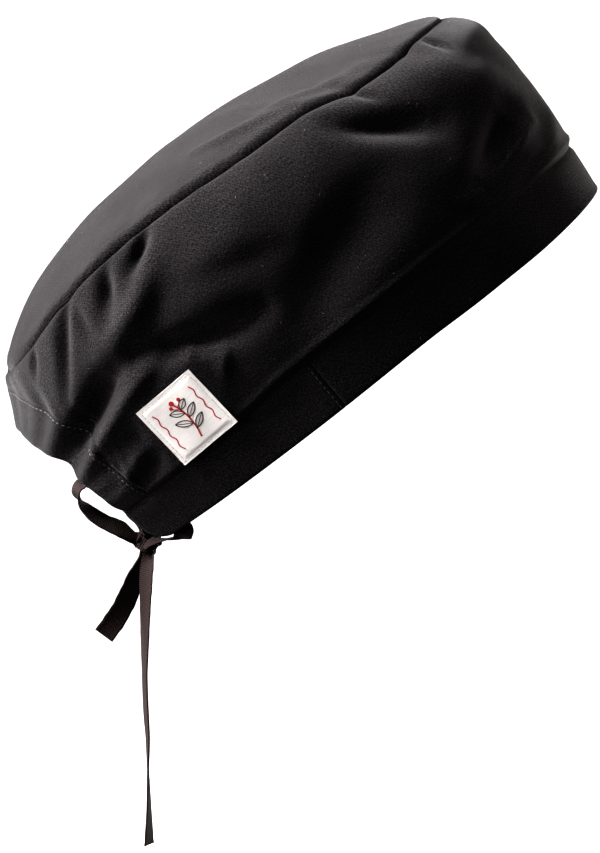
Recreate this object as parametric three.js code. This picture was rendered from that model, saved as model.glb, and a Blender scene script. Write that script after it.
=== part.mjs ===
// A tie-back scrub cap: an oval crown sewn to a soft side panel, a narrow band round the head,
// a hemmed opening at the nape, and flat tape ties that hang from a half bow.
// Lengths are millimetres. The cap has its own axes, X to the forehead, Y to the wearer's left and
// Z to the crown, with its origin in the middle of the head opening, and is tipped back about Y.
// The ties are built plumb, because they hang under their own weight.
import * as THREE from "three";

// Driving sizes of the sewn cap
const HALF_LENGTH = 114; // from the middle to the fullest part at front and back
const HALF_WIDTH = 80; // from the middle to the fullest part at each side
const SIDE_HEIGHT = 95; // rim to crown seam at its highest
const CROWN_TOP = 107.2; // rim to the top of the crown
const BAND_HEIGHT = 20.5; // at its highest, over the ears
const BAND_INSET = 1; // how far the band lies inside the panel above it
const TIP_BACK = THREE.MathUtils.degToRad(38.5);

// Cloth, seams and clearances
const CLOTH = 1.2;
const BAND_CLOTH = 2;
const HEM_CLOTH = 2.2;
const SEAM_GAP = 0.3;
const SEAM_ROLL = 3.2; // how far from a seam the cloth has risen by two thirds of its depth
const FOLD_FADE = 7; // how far from a seam a fold has two thirds of its depth
const SEAM_DEPTH = 2.2; // depth of the groove along the crown seam
const BAND_TUCK = 2; // how far the panel tucks in above the band
const HEM_TUCK = 0.9; // depth of the groove beside the hem

// The opening at the nape and the hem that holds the tape, measured along the cloth
const OPENING_HALF_WIDTH = 59;
const OPENING_HEIGHT = 62;
const OPENING_STRAIGHT = 24; // height up to which its sides stand straight
const OPENING_POWER = 1.8;
const HEM_WIDTH = 14;
const CORNER_RADIUS = 8; // the band's rear corners

// The sewn label
const LABEL_SIDE = 25.4;
const LABEL_CLOTH = 0.8;
const LABEL_BEHIND = 63; // its middle, behind the middle of the cap
const LABEL_OVERHANG = 1.4; // how far its lower edge is below the band's highest level
const LABEL_TURN = THREE.MathUtils.degToRad(3); // its front end is up by this much
const LABEL_FLAT = 7; // margin round it over which the cloth returns to its own shape

// Where the band's pieces are joined, behind the middle of the cap
const BAND_JOIN_BEHIND = 17.5;

// Flat tape
const TAPE_WIDTH = 8;
const TAPE_CLOTH = 1;
const TAPE_STEP = 4; // length of tape for each step of its solid

// The knot of the half bow
const KNOT_WIDTH = 9;
const KNOT_DEPTH = 8;
const KNOT_HEIGHT = 9;
const KNOT_PLACE = new THREE.Vector3(-80.6, 0, -66.8); // from the middle of the head opening

// How finely the cloth is divided
const SIDE_COLUMNS = 34; // from the forehead to the foot of the hem
const HEM_COLUMNS = 14; // from the foot of the hem to the middle of the nape
const EDGE_ROWS = [0, 0.625, 1.4375]; // rows beside a seam, by their distance from it in seam rolls
const MIDDLE_ROWS = 6;
const BAND_ROWS = 3;
const CROWN_RINGS = 6;

// The side's outline at each share of its height: front and back are shares of HALF_LENGTH,
// wide is a share of HALF_WIDTH. The back is the outline's reach if it ran on across the opening.
// square says how square the outline is behind the middle: 2 is an ellipse.
const SIDE_LEVELS = [
  { up: 0.0, front: 0.946, back: 1.12, wide: 0.95, square: 2.0 },
  { up: 0.2, front: 0.962, back: 1.165, wide: 0.972, square: 2.0 },
  { up: 0.4, front: 0.974, back: 1.175, wide: 0.998, square: 2.0 },
  { up: 0.6, front: 0.972, back: 1.1, wide: 0.995, square: 2.05 },
  { up: 0.75, front: 0.967, back: 1.02, wide: 0.97, square: 2.15 },
  { up: 0.87, front: 0.957, back: 0.97, wide: 0.92, square: 2.3 },
  { up: 1.0, front: 0.885, back: 0.93, wide: 0.83, square: 2.5 },
];

// Height of the crown seam as a share of SIDE_HEIGHT, round half the cap from forehead to nape.
const SEAM_HEIGHTS = [
  { round: 0.0, high: 0.868 },
  { round: 0.08, high: 0.885 },
  { round: 0.14, high: 0.892 },
  { round: 0.2, high: 0.885 },
  { round: 0.26, high: 0.905 },
  { round: 0.33, high: 0.952 },
  { round: 0.46, high: 0.97 },
  { round: 0.6, high: 0.994 },
  { round: 0.72, high: 0.99 },
  { round: 0.8, high: 0.955 },
  { round: 0.88, high: 0.888 },
  { round: 1.0, high: 0.85 },
];

// The band's lower and upper edges as shares of BAND_HEIGHT, round half the cap from the forehead,
// where it dips, to the nape, where it narrows.
const BAND_EDGES = [
  { round: 0.0, rim: -0.15, top: 0.75 },
  { round: 0.1, rim: -0.14, top: 0.79 },
  { round: 0.2, rim: -0.12, top: 0.87 },
  { round: 0.3, rim: -0.06, top: 0.96 },
  { round: 0.42, rim: 0, top: 1 },
  { round: 0.6, rim: 0, top: 1 },
  { round: 0.7, rim: 0, top: 0.9 },
  { round: 0.8, rim: 0, top: 0.82 },
  { round: 1.0, rim: 0, top: 0.82 },
];

// How square the outline is ahead of the middle.
const SQUARE_FRONT = 2.15;

// How flat the crown is at the forehead and at the nape: its fall grows by this power of the way out.
const CROWN_POWER = { front: 1.8, back: 3.1 };

// Share of half the seam that lies ahead of the foot of the hem.
const SEAM_SHARE_AHEAD = 0.74;

// Folds of the side panel on the wearer's right. round is a share of half the girth from the
// forehead and up is a share of SIDE_HEIGHT, at the start, middle and end of each fold. wide and
// deep are shares of SIDE_HEIGHT, and a negative deep is a hollow. left is how much of the fold
// the other side has.
const PANEL_FOLDS = [
  {
    name: "front_bulge", round: [0.21, 0.166, 0.122], up: [0.8, 0.66, 0.43],
    wide: 0.11, deep: 0.035, left: 0.9,
  },
  {
    name: "front_valley", round: [0.322, 0.286, 0.242], up: [0.869, 0.737, 0.585],
    wide: 0.055, deep: -0.05, left: 0.6,
  },
  {
    name: "brow_valley", round: [0.142, 0.191, 0.247], up: [0.408, 0.368, 0.335],
    wide: 0.05, deep: -0.045, left: 0.7,
  },
  {
    name: "brow_ridge", round: [0.15, 0.2, 0.25], up: [0.35, 0.3, 0.28],
    wide: 0.04, deep: 0.025, left: 0.7,
  },
  {
    name: "brow_roll", round: [0.06, 0.091, 0.151], up: [0.417, 0.259, 0.23],
    wide: 0.06, deep: 0.02, left: 1,
  },
  {
    name: "middle_hollow", round: [0.561, 0.45, 0.341], up: [0.32, 0.444, 0.558],
    wide: 0.12, deep: -0.05, left: 0.8,
  },
  {
    name: "middle_ridge", round: [0.307, 0.377, 0.447], up: [0.571, 0.541, 0.509],
    wide: 0.05, deep: 0.02, left: 0.5,
  },
  {
    name: "ear_bulge", round: [0.647, 0.556, 0.446], up: [0.589, 0.646, 0.741],
    wide: 0.15, deep: 0.04, left: 0.9,
  },
  {
    name: "ear_valley", round: [0.556, 0.637, 0.737], up: [0.509, 0.543, 0.697],
    wide: 0.06, deep: -0.05, left: 0.8,
  },
  {
    name: "rear_valley", round: [0.737, 0.8, 0.869], up: [0.697, 0.645, 0.461],
    wide: 0.055, deep: -0.055, left: 0.7,
  },
  {
    name: "rear_ridge", round: [0.701, 0.792, 0.85], up: [0.596, 0.505, 0.448],
    wide: 0.05, deep: 0.03, left: 0.8,
  },
  {
    name: "tie_valley", round: [0.775, 0.815, 0.84], up: [0.442, 0.38, 0.274],
    wide: 0.045, deep: -0.035, left: 0.6,
  },
  {
    name: "seam_dimple", round: [0.731, 0.73, 0.728], up: [0.924, 0.87, 0.821],
    wide: 0.05, deep: -0.03, left: 0.5,
  },
];

const SIDES = [
  { name: "right", sign: -1 },
  { name: "left", sign: 1 },
];

const lerp = THREE.MathUtils.lerp;

// A smooth curve through one column of a table, read at a value of another column.
function along(table, key, column, at) {
  const last = table.length - 1;
  let i = 0;
  while (i < last - 1 && at > table[i + 1][key]) i += 1;
  const slope = (k) => {
    const a = table[Math.max(k - 1, 0)];
    const b = table[Math.min(k + 1, last)];
    return (b[column] - a[column]) / (b[key] - a[key]);
  };
  const step = table[i + 1][key] - table[i][key];
  const t = THREE.MathUtils.clamp((at - table[i][key]) / step, 0, 1);
  const rise = table[i + 1][column] - table[i][column];
  const m0 = slope(i) * step;
  const m1 = slope(i + 1) * step;
  return table[i][column] + t * m0 + t * t * (3 * rise - 2 * m0 - m1) + t ** 3 * (m0 + m1 - 2 * rise);
}

const bell = (distance, width) => Math.exp(-((distance / width) ** 2));

// 1 on a seam, falling away from it as the cloth rises out of the seam.
const roll = (distance, width = SEAM_ROLL) => Math.exp(-distance / width);

const seamHeight = (angle) => {
  const round = Math.abs(angle) / Math.PI;
  return SIDE_HEIGHT * along(SEAM_HEIGHTS, "round", "high", round);
};

// The height of one edge of the band, "rim" or "top".
const bandEdge = (angle, edge) => {
  const round = Math.abs(angle) / Math.PI;
  return BAND_HEIGHT * along(BAND_EDGES, "round", edge, round);
};

const panelFoot = (angle) => bandEdge(angle, "top") + SEAM_GAP;
const HEM_FOOT = panelFoot(Math.PI); // the hem stands on the band where it is narrowest

// The plan's outline at a share of the side's height.
function outlinePoint(angle, share, height) {
  const [c, s] = [Math.cos(angle), Math.sin(angle)];
  const end = c >= 0 ? "front" : "back";
  const long = HALF_LENGTH * along(SIDE_LEVELS, "up", end, share);
  const wide = HALF_WIDTH * along(SIDE_LEVELS, "up", "wide", share);
  const power = c >= 0 ? SQUARE_FRONT : along(SIDE_LEVELS, "up", "square", share);
  const reach = (Math.abs(c / long) ** power + Math.abs(s / wide) ** power) ** (-1 / power);
  return new THREE.Vector3(reach * c, reach * s, height);
}

// A point of the smooth side, before its folds, at an angle from the forehead and a height.
const sidePoint = (angle, height) => outlinePoint(angle, height / seamHeight(angle), height);

function sideNormal(angle, height) {
  const [turn, rise] = [0.01, SIDE_HEIGHT / 190];
  const round = sidePoint(angle + turn, height).sub(sidePoint(angle - turn, height));
  const up = sidePoint(angle, height + rise).sub(sidePoint(angle, height - rise));
  return round.cross(up).normalize();
}

// The angle of a point on one side that lies ahead of (or, if negative, behind) the middle.
function angleAhead(ahead, height, sign) {
  let [low, high] = [0, Math.PI];
  for (let i = 0; i < 40; i += 1) {
    const middle = (low + high) / 2;
    if (sidePoint(middle, height).x > ahead) low = middle;
    else high = middle;
  }
  return sign * low;
}

// The angle, on the left, of a point at a distance along the cloth from the middle of the nape.
function angleFromNape(distance, height) {
  let angle = Math.PI;
  let left = distance;
  const turn = 0.004;
  while (left > 0) {
    const step = sidePoint(angle, height).distanceTo(sidePoint(angle - turn, height));
    angle -= turn * Math.min(1, left / step);
    left -= step;
  }
  return angle;
}

// The arch of the opening, widened by a margin: t runs from its foot, 0, to its top, 1.
function archPoint(margin, foot, t) {
  const straight = OPENING_STRAIGHT - foot;
  const turned = OPENING_HALF_WIDTH + OPENING_HEIGHT - OPENING_STRAIGHT;
  const shareStraight = straight / (straight + turned * 0.8);
  const half = OPENING_HALF_WIDTH + margin;
  if (t < shareStraight) {
    const height = foot + (straight * t) / shareStraight;
    return { angle: angleFromNape(half, height), height };
  }
  const bend = (((t - shareStraight) / (1 - shareStraight)) * Math.PI) / 2;
  const power = 2 / OPENING_POWER;
  const rise = OPENING_HEIGHT + margin - OPENING_STRAIGHT;
  const height = OPENING_STRAIGHT + rise * Math.sin(bend) ** power;
  return { angle: angleFromNape(half * Math.cos(bend) ** power, height), height };
}

// The label's flat seat: its middle on the cloth, and its own axes.
const LABEL_UP = BAND_HEIGHT - LABEL_OVERHANG + LABEL_SIDE / 2;
const LABEL_ANGLE = angleAhead(-LABEL_BEHIND, LABEL_UP, -1);
const labelSeat = sidePoint(LABEL_ANGLE, LABEL_UP);
const labelOut = sideNormal(LABEL_ANGLE, LABEL_UP);
const labelAlong = new THREE.Vector3(0, 0, 1).cross(labelOut).normalize();
labelAlong.applyAxisAngle(labelOut, LABEL_TURN);
const labelRise = labelOut.clone().cross(labelAlong);

// 1 under the label, falling to 0 over LABEL_FLAT round it.
function underLabel(point) {
  const offset = point.clone().sub(labelSeat);
  if (offset.length() > LABEL_SIDE + LABEL_FLAT) return 0;
  const reach = Math.max(Math.abs(offset.dot(labelAlong)), Math.abs(offset.dot(labelRise)));
  return 1 - THREE.MathUtils.smoothstep(reach, LABEL_SIDE / 2 + 1, LABEL_SIDE / 2 + LABEL_FLAT);
}

// How far a fold lifts or sinks the cloth at a point of the side.
function foldLift(fold, round, up) {
  const girth = (Math.PI * (HALF_LENGTH + HALF_WIDTH)) / 2 / SIDE_HEIGHT;
  let nearest = Infinity;
  let place = 0;
  const steps = 12;
  for (let k = 0; k <= steps; k += 1) {
    const t = k / steps;
    const [a, b, c] = [(1 - t) * (1 - 2 * t), 4 * t * (1 - t), t * (2 * t - 1)];
    const r = a * fold.round[0] + b * fold.round[1] + c * fold.round[2];
    const u = a * fold.up[0] + b * fold.up[1] + c * fold.up[2];
    const away = Math.hypot((r - round) * girth, u - up);
    if (away < nearest) [nearest, place] = [away, t];
  }
  return fold.deep * SIDE_HEIGHT * bell(nearest, fold.wide) * (0.35 + 0.65 * Math.sin(Math.PI * place));
}

function panelLift(angle, height) {
  const round = Math.abs(angle) / Math.PI;
  const up = height / SIDE_HEIGHT;
  let lift = 0;
  for (const fold of PANEL_FOLDS) {
    const share = angle < 0 ? 1 : fold.left;
    lift += share * foldLift(fold, round, up);
  }
  return lift;
}

// A point of the folded side, sunk by some depth beside its seams. free is 0 on a seam, where
// the folds end, and 1 away from it.
function clothPoint(angle, height, sunk, free) {
  const base = sidePoint(angle, height);
  const flat = free * underLabel(base);
  const above = base.clone().sub(labelSeat).dot(labelOut);
  const lift = (1 - flat) * free * panelLift(angle, height) - sunk;
  const point = base.addScaledVector(sideNormal(angle, height), lift);
  return point.addScaledVector(labelOut, -flat * above);
}

// The sewing line of the crown: the panel's top edge and the crown's edge meet on it.
function seamPoint(angle) {
  const height = seamHeight(angle);
  const out = sideNormal(angle, height - SEAM_ROLL);
  const inward = out.clone().add(new THREE.Vector3(0, 0, 1)).normalize();
  return outlinePoint(angle, 1, height).addScaledVector(inward, -SEAM_DEPTH);
}

// One body from a grid of outer points, with a wall of the cloth's thickness behind it.
// Rows run from edge to edge, and a wrapping grid's last column joins its first.
// With a peak, the last row closes on one point.
function shell(rows, thickness, { wraps = false, peak = null } = {}) {
  const [count, width] = [rows.length, rows[0].length];
  const at = (i, j) => rows[i][wraps ? (j + width) % width : THREE.MathUtils.clamp(j, 0, width - 1)];
  const row = (i) => THREE.MathUtils.clamp(i, 0, count - 1);
  const outer = [];
  const inner = [];
  for (let i = 0; i < count; i += 1) {
    for (let j = 0; j < width; j += 1) {
      const across = at(i, j + 1).clone().sub(at(i, j - 1));
      const next = peak && i === count - 1 ? peak : at(row(i + 1), j);
      const down = next.clone().sub(at(row(i - 1), j));
      const normal = across.cross(down).normalize();
      outer.push(at(i, j).clone());
      inner.push(at(i, j).clone().addScaledVector(normal, -thickness));
    }
  }
  const points = [...outer, ...inner];
  const faces = [];
  const quad = (a, b, c, d) => faces.push(a, b, c, a, c, d);
  const depth = outer.length;
  const columns = wraps ? width : width - 1;
  for (let i = 0; i < count - 1; i += 1) {
    for (let j = 0; j < columns; j += 1) {
      const k = (j + 1) % width;
      const [a, b, c, d] = [i * width + j, i * width + k, (i + 1) * width + k, (i + 1) * width + j];
      quad(a, b, c, d);
      quad(depth + a, depth + d, depth + c, depth + b);
    }
    if (!wraps) {
      const [a, b] = [i * width, (i + 1) * width];
      quad(a, b, depth + b, depth + a);
      const [c, d] = [a + width - 1, b + width - 1];
      quad(d, c, depth + c, depth + d);
    }
  }
  const lastRow = (count - 1) * width;
  for (let j = 0; j < columns; j += 1) {
    const k = (j + 1) % width;
    quad(k, j, depth + j, depth + k);
    if (!peak) quad(lastRow + j, lastRow + k, depth + lastRow + k, depth + lastRow + j);
  }
  if (peak) {
    const tip = points.push(peak, peak.clone().add(new THREE.Vector3(0, 0, -thickness))) - 2;
    for (let j = 0; j < width; j += 1) {
      const [a, b] = [lastRow + j, lastRow + ((j + 1) % width)];
      faces.push(a, b, tip, depth + b, depth + a, tip + 1);
    }
  }
  return closedGeometry(points, faces);
}

// An indexed geometry whose faces all point out of the body they close.
function closedGeometry(points, faces) {
  let volume = 0;
  for (let i = 0; i < faces.length; i += 3) {
    const [a, b, c] = [points[faces[i]], points[faces[i + 1]], points[faces[i + 2]]];
    volume += a.dot(b.clone().cross(c));
  }
  if (volume < 0) faces.reverse();
  const geometry = new THREE.BufferGeometry();
  geometry.setAttribute("position", new THREE.Float32BufferAttribute(points.flatMap((p) => p.toArray()), 3));
  geometry.setIndex(faces);
  geometry.computeVertexNormals();
  return geometry;
}

// The columns of one half of the cap, from the forehead to the nape: the panel's lower edge runs
// along the band and then up the hem, and its upper edge along the crown seam.
function halfColumns() {
  const columns = [];
  const foot = archPoint(HEM_WIDTH, HEM_FOOT, 0).angle;
  for (let j = 0; j <= SIDE_COLUMNS + HEM_COLUMNS; j += 1) {
    const t = (j - SIDE_COLUMNS) / HEM_COLUMNS;
    if (t <= 0) {
      const share = j / SIDE_COLUMNS;
      const top = Math.PI * SEAM_SHARE_AHEAD * share;
      columns.push({ low: { angle: foot * share, height: panelFoot(foot * share) }, top, t: null });
    } else {
      const top = Math.PI * lerp(SEAM_SHARE_AHEAD, 1, t);
      columns.push({ low: archPoint(HEM_WIDTH, HEM_FOOT, t), top, t });
    }
  }
  return columns;
}

// All the columns round the cap, from the nape along the right side to the forehead and back.
function allColumns() {
  const half = halfColumns();
  const mirrored = (column) => ({
    low: { angle: -column.low.angle, height: column.low.height },
    top: -column.top,
    t: column.t,
  });
  const right = half.slice(1).reverse().map(mirrored);
  return [...right, ...half.slice(0, -1)];
}

const COLUMNS = allColumns();

function rowDistances(length) {
  const squeeze = Math.min(1, length / (5 * EDGE_ROWS.at(-1) * SEAM_ROLL));
  const edge = EDGE_ROWS.map((rolls) => rolls * SEAM_ROLL * squeeze);
  const [start, end] = [edge.at(-1), length - edge.at(-1)];
  const middle = Array.from({ length: MIDDLE_ROWS - 1 }, (_, k) => lerp(start, end, (k + 1) / MIDDLE_ROWS));
  return [...edge, ...middle, ...edge.map((distance) => length - distance).reverse()];
}

function sidePanel() {
  const lines = COLUMNS.map(({ low, top, t }) => {
    const high = seamHeight(top) - SEAM_GAP;
    const start = sidePoint(low.angle, low.height);
    const end = sidePoint(top, high);
    const length = start.distanceTo(end);
    const tuck = t === null ? BAND_TUCK : lerp(BAND_TUCK, HEM_TUCK, Math.min(1, 4 * t));
    return rowDistances(length).map((distance) => {
      const share = distance / length;
      const angle = lerp(low.angle, top, share);
      const height = lerp(low.height, high, share);
      const [nearLow, nearHigh] = [roll(distance), roll(length - distance)];
      const free = (1 - roll(distance, FOLD_FADE)) * (1 - roll(length - distance, FOLD_FADE));
      const point = clothPoint(angle, height, tuck * nearLow * (1 - share), free);
      const pull = seamPoint(top).sub(end).addScaledVector(new THREE.Vector3(0, 0, 1), -SEAM_GAP);
      return point.addScaledVector(pull, nearHigh * share);
    });
  });
  const rows = lines[0].map((_, i) => lines.map((line) => line[i]));
  return shell(rows, CLOTH, { wraps: true });
}

function crown() {
  const power = (angle) => lerp(CROWN_POWER.back, CROWN_POWER.front, (1 + Math.cos(angle)) / 2);
  const point = (angle, ring) => {
    const edge = outlinePoint(angle, 1, seamHeight(angle));
    const rise = (CROWN_TOP - edge.z) * (1 - ring ** power(angle));
    return new THREE.Vector3(edge.x * ring, edge.y * ring, edge.z + rise);
  };
  const rings = [0, 0.02, 0.05];
  for (let k = 1; k <= CROWN_RINGS; k += 1) rings.push(lerp(0.05, 0.93, k / CROWN_RINGS));
  const rows = rings.map((inset) =>
    COLUMNS.map(({ top }) => {
      const edge = point(top, 1);
      const away = inset * Math.hypot(edge.x, edge.y);
      return point(top, 1 - inset).addScaledVector(seamPoint(top).sub(edge), roll(away));
    }),
  );
  return shell(rows, CLOTH, { wraps: true, peak: new THREE.Vector3(0, 0, CROWN_TOP) });
}

// One piece of the band between two angles. Where it ends at the opening, its lower corner is round.
function bandPiece(angles, corner) {
  const lines = angles.map((angle) => {
    const nape = Math.max(0, corner ? corner.distance(angle) : CORNER_RADIUS);
    const across = Math.max(0, CORNER_RADIUS - nape);
    const cut = CORNER_RADIUS - Math.sqrt(Math.max(0, CORNER_RADIUS ** 2 - across ** 2));
    const [low, top] = [bandEdge(angle, "rim") + cut, bandEdge(angle, "top")];
    return Array.from({ length: BAND_ROWS + 1 }, (_, i) => {
      const height = lerp(low, top, i / BAND_ROWS);
      const tuck = BAND_TUCK * roll(top - height);
      const sunk = BAND_INSET + Math.max(0, tuck - BAND_INSET);
      return sidePoint(angle, height).addScaledVector(sideNormal(angle, height), -sunk);
    });
  });
  const rows = lines[0].map((_, i) => lines.map((line) => line[i]));
  return shell(rows, BAND_CLOTH);
}

function bandAngles() {
  const join = angleAhead(-BAND_JOIN_BEHIND, BAND_HEIGHT / 2, 1);
  const gap = SEAM_GAP / 2 / HALF_WIDTH;
  const end = angleFromNape(OPENING_HALF_WIDTH, HEM_FOOT);
  const shared = COLUMNS.filter(({ low, t }) => t === null && low.angle >= 0).map(({ low }) => low.angle);
  const front = shared.filter((angle) => angle < join - gap);
  const half = [...front, join - gap];
  const across = [...half.slice(1).reverse().map((angle) => -angle), ...half];
  const rear = [join + gap, ...shared.filter((angle) => angle > join + gap)];
  const foot = rear.at(-1);
  for (let k = 1; k <= 5; k += 1) rear.push(lerp(foot, end, Math.sin((Math.PI / 2) * (k / 5))));
  return { across, rear, end };
}

// The hem round the opening: a folded strip with a rounded section.
function hem() {
  const margins = [0, 0.12, 0.5, 0.88, 1].map((share) => share * (HEM_WIDTH - SEAM_GAP));
  const half = Array.from({ length: HEM_COLUMNS + 1 }, (_, j) => j / HEM_COLUMNS);
  const line = (t, sign) =>
    margins.map((margin) => {
      const { angle, height } = archPoint(margin, HEM_FOOT, t);
      const edge = Math.min(margin, HEM_WIDTH - SEAM_GAP - margin);
      const sunk = HEM_TUCK * roll(edge, SEAM_ROLL / 2);
      return sidePoint(sign * angle, height).addScaledVector(sideNormal(sign * angle, height), -sunk);
    });
  const lines = [...half.map((t) => line(t, 1)), ...half.slice(0, -1).reverse().map((t) => line(t, -1))];
  const rows = lines[0].map((_, i) => lines.map((points) => points[i]));
  return shell(rows, HEM_CLOTH);
}

function label() {
  const body = new THREE.BoxGeometry(LABEL_SIDE, LABEL_SIDE, LABEL_CLOTH, 1, 1, 1);
  const place = labelSeat.clone().addScaledVector(labelOut, SEAM_GAP + LABEL_CLOTH / 2);
  body.applyMatrix4(new THREE.Matrix4().makeBasis(labelAlong, labelRise, labelOut).setPosition(place));
  return body;
}

// Flat tape swept along a table of places, measured from the knot: x to the right, y away and z up,
// with the direction of its width in wx, wy and wz and its gathered width in share.
function tape(route) {
  const centre = new THREE.CatmullRomCurve3(route.map(({ x, y, z }) => new THREE.Vector3(x, y, z)));
  const steps = Math.max(4, Math.round(centre.getLength() / TAPE_STEP));
  const facing = new THREE.CatmullRomCurve3(route.map(({ wx, wy, wz }) => new THREE.Vector3(wx, wy, wz)));
  const corner = TAPE_CLOTH * 0.3;
  const points = [];
  for (let i = 0; i <= steps; i += 1) {
    const u = centre.getUtoTmapping(i / steps);
    const tangent = centre.getTangent(u);
    const wide = facing.getPoint(u);
    wide.addScaledVector(tangent, -wide.dot(tangent)).normalize();
    const thick = tangent.clone().cross(wide);
    const share = shareAt(route, u);
    const [w, h] = [(TAPE_WIDTH * share) / 2, TAPE_CLOTH / 2];
    const section = [[w, h - corner], [w - corner, h], [-w + corner, h], [-w, h - corner]];
    for (const [a, b] of [...section, ...section.map(([p, q]) => [-p, -q])]) {
      const point = centre.getPoint(u).addScaledVector(wide, a).addScaledVector(thick, b);
      points.push(point.add(KNOT_PLACE));
    }
  }
  const faces = [];
  const sides = 8;
  for (let i = 0; i < steps; i += 1) {
    for (let j = 0; j < sides; j += 1) {
      const [a, b] = [i * sides + j, i * sides + ((j + 1) % sides)];
      faces.push(a, b, b + sides, a, b + sides, a + sides);
    }
  }
  const last = steps * sides;
  for (let j = 1; j < sides - 1; j += 1) faces.push(0, j + 1, j, last, last + j, last + j + 1);
  return closedGeometry(points, faces);
}

function shareAt(route, u) {
  const place = u * (route.length - 1);
  const i = Math.min(Math.floor(place), route.length - 2);
  return lerp(route[i].share ?? 1, route[i + 1].share ?? 1, place - i);
}

// The knot is a lump of tape, flattened where the strands leave it.
function knot() {
  const body = new THREE.SphereGeometry(0.5, 16, 10);
  const position = body.attributes.position;
  const point = new THREE.Vector3();
  const square = 0.72;
  const swell = (value) => (Math.sign(value) * Math.abs(2 * value) ** square) / 2;
  for (let i = 0; i < position.count; i += 1) {
    point.fromBufferAttribute(position, i);
    point.set(swell(point.x) * KNOT_WIDTH, swell(point.y) * KNOT_DEPTH, swell(point.z) * KNOT_HEIGHT);
    position.setXYZ(i, ...point.add(KNOT_PLACE).toArray());
  }
  return body;
}

// Each lead comes down the inner face of the band beside the opening, and runs under the rim to
// the knot. The hanging stretch is a table of shares of the way from the rim to the knot.
const LEAD_HANG = [
  { share: 0.12, drop: 0.2, wx: 0.8, wy: -0.5, wz: 0.1, gathered: 1 },
  { share: 0.35, drop: 0.4, wx: 0.85, wy: -0.25, wz: 0, gathered: 1 },
  { share: 0.6, drop: 0.4, wx: 0.9, wy: -0.1, wz: 0.1, gathered: 0.95 },
  { share: 0.82, drop: 0.3, wx: 0.8, wy: 0, wz: 0.4, gathered: 0.8 },
  { share: 1, drop: 0, wx: 0.7, wy: 0, wz: 0.7, gathered: 0.65 },
];
const LEAD_STRAIGHT = 3; // the last stretch, square to the knot
const LEAD_TOP = 0.55; // how high its sewn end lies on the band, as a share of BAND_HEIGHT
const LEAD_UNDER_RIM = 3;
const LEAD_SLACK = 0.4; // the flat tape bridges the curve of the band

function leadRoute(sign) {
  const behindBand = BAND_INSET + BAND_CLOTH + LEAD_SLACK + SEAM_GAP + TAPE_CLOTH / 2;
  const angle = sign * angleFromNape(OPENING_HALF_WIDTH + CORNER_RADIUS, 0);
  const place = (height) => {
    const inside = sidePoint(angle, height).addScaledVector(sideNormal(angle, height), -behindBand);
    return inside.applyEuler(cap.rotation).sub(KNOT_PLACE);
  };
  const ahead = sidePoint(angle - sign * 0.05, 0).sub(sidePoint(angle, 0)).normalize();
  ahead.applyEuler(cap.rotation);
  const width = { wx: ahead.x, wy: ahead.y, wz: ahead.z };
  const sewn = [LEAD_TOP * BAND_HEIGHT, (LEAD_TOP / 2) * BAND_HEIGHT, 0].map((height) => {
    const { x, y, z } = place(height);
    return { x, y, z, ...width };
  });
  const rim = place(-LEAD_UNDER_RIM);
  const knotSide = KNOT_DEPTH / 2 + SEAM_GAP;
  const end = new THREE.Vector3(0, sign * (knotSide + LEAD_STRAIGHT), 0.4);
  const hanging = LEAD_HANG.map(({ share, drop, wx, wy, wz, gathered }) => {
    const { x, y, z } = rim.clone().lerp(end, share);
    return { x, y, z: z - drop, wx, wy: -sign * wy, wz, share: gathered };
  });
  const last = { ...hanging.at(-1), y: sign * knotSide };
  return [...sewn, ...hanging, last];
}

const LOOP_ROUTE = [
  { x: -4.9, y: -1.2, z: 1.6, wx: 0.1, wy: 0.6, wz: 0.75, share: 0.65 },
  { x: -10.4, y: -2, z: 5, wx: 0.1, wy: 0.74, wz: 0.66 },
  { x: -16, y: -2.5, z: 7.7, wx: 0.1, wy: 0.8, wz: 0.6 },
  { x: -21, y: -2.2, z: 11.2, wx: 0, wy: 0.8, wz: 0.58 },
  { x: -24.4, y: -1.2, z: 15, wx: -0.15, wy: 0.82, wz: 0.5 },
  { x: -25.6, y: 0.4, z: 18.9, wx: -0.3, wy: 0.85, wz: 0.4 },
  { x: -24, y: 1.8, z: 21.4, wx: -0.2, wy: 0.93, wz: 0.3 },
  { x: -20.4, y: 2.7, z: 20.6, wx: 0, wy: 0.98, wz: 0.18 },
  { x: -15.6, y: 3, z: 17.3, wx: 0.05, wy: 0.99, wz: 0.1 },
  { x: -10.6, y: 2.6, z: 13.4, wx: 0, wy: 1, wz: 0.05 },
  { x: -6.2, y: 1.8, z: 9.2, wx: 0, wy: 1, wz: 0.1, share: 0.9 },
  { x: -3, y: 1, z: 4.9, wx: 0, wy: 1, wz: 0.2, share: 0.65 },
];

const SHORT_TAIL_ROUTE = [
  { x: -1.6, y: 1.6, z: -4.9, wx: 0.7, wy: 0.7, wz: 0, share: 0.6 },
  { x: -3, y: 2.4, z: -9.5, wx: 0.75, wy: 0.65, wz: -0.1, share: 0.85 },
  { x: -4.6, y: 3, z: -14, wx: 0.8, wy: 0.55, wz: -0.2 },
  { x: -6.4, y: 3, z: -18.6, wx: 0.82, wy: 0.4, wz: -0.35 },
  { x: -9.2, y: 2.4, z: -24.6, wx: 0.8, wy: 0.25, wz: -0.5 },
  { x: -12.6, y: 1.6, z: -30, wx: 0.74, wy: 0.12, wz: -0.62 },
  { x: -16.5, y: 0.6, z: -35.2, wx: 0.72, wy: 0, wz: -0.69 },
];

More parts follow.
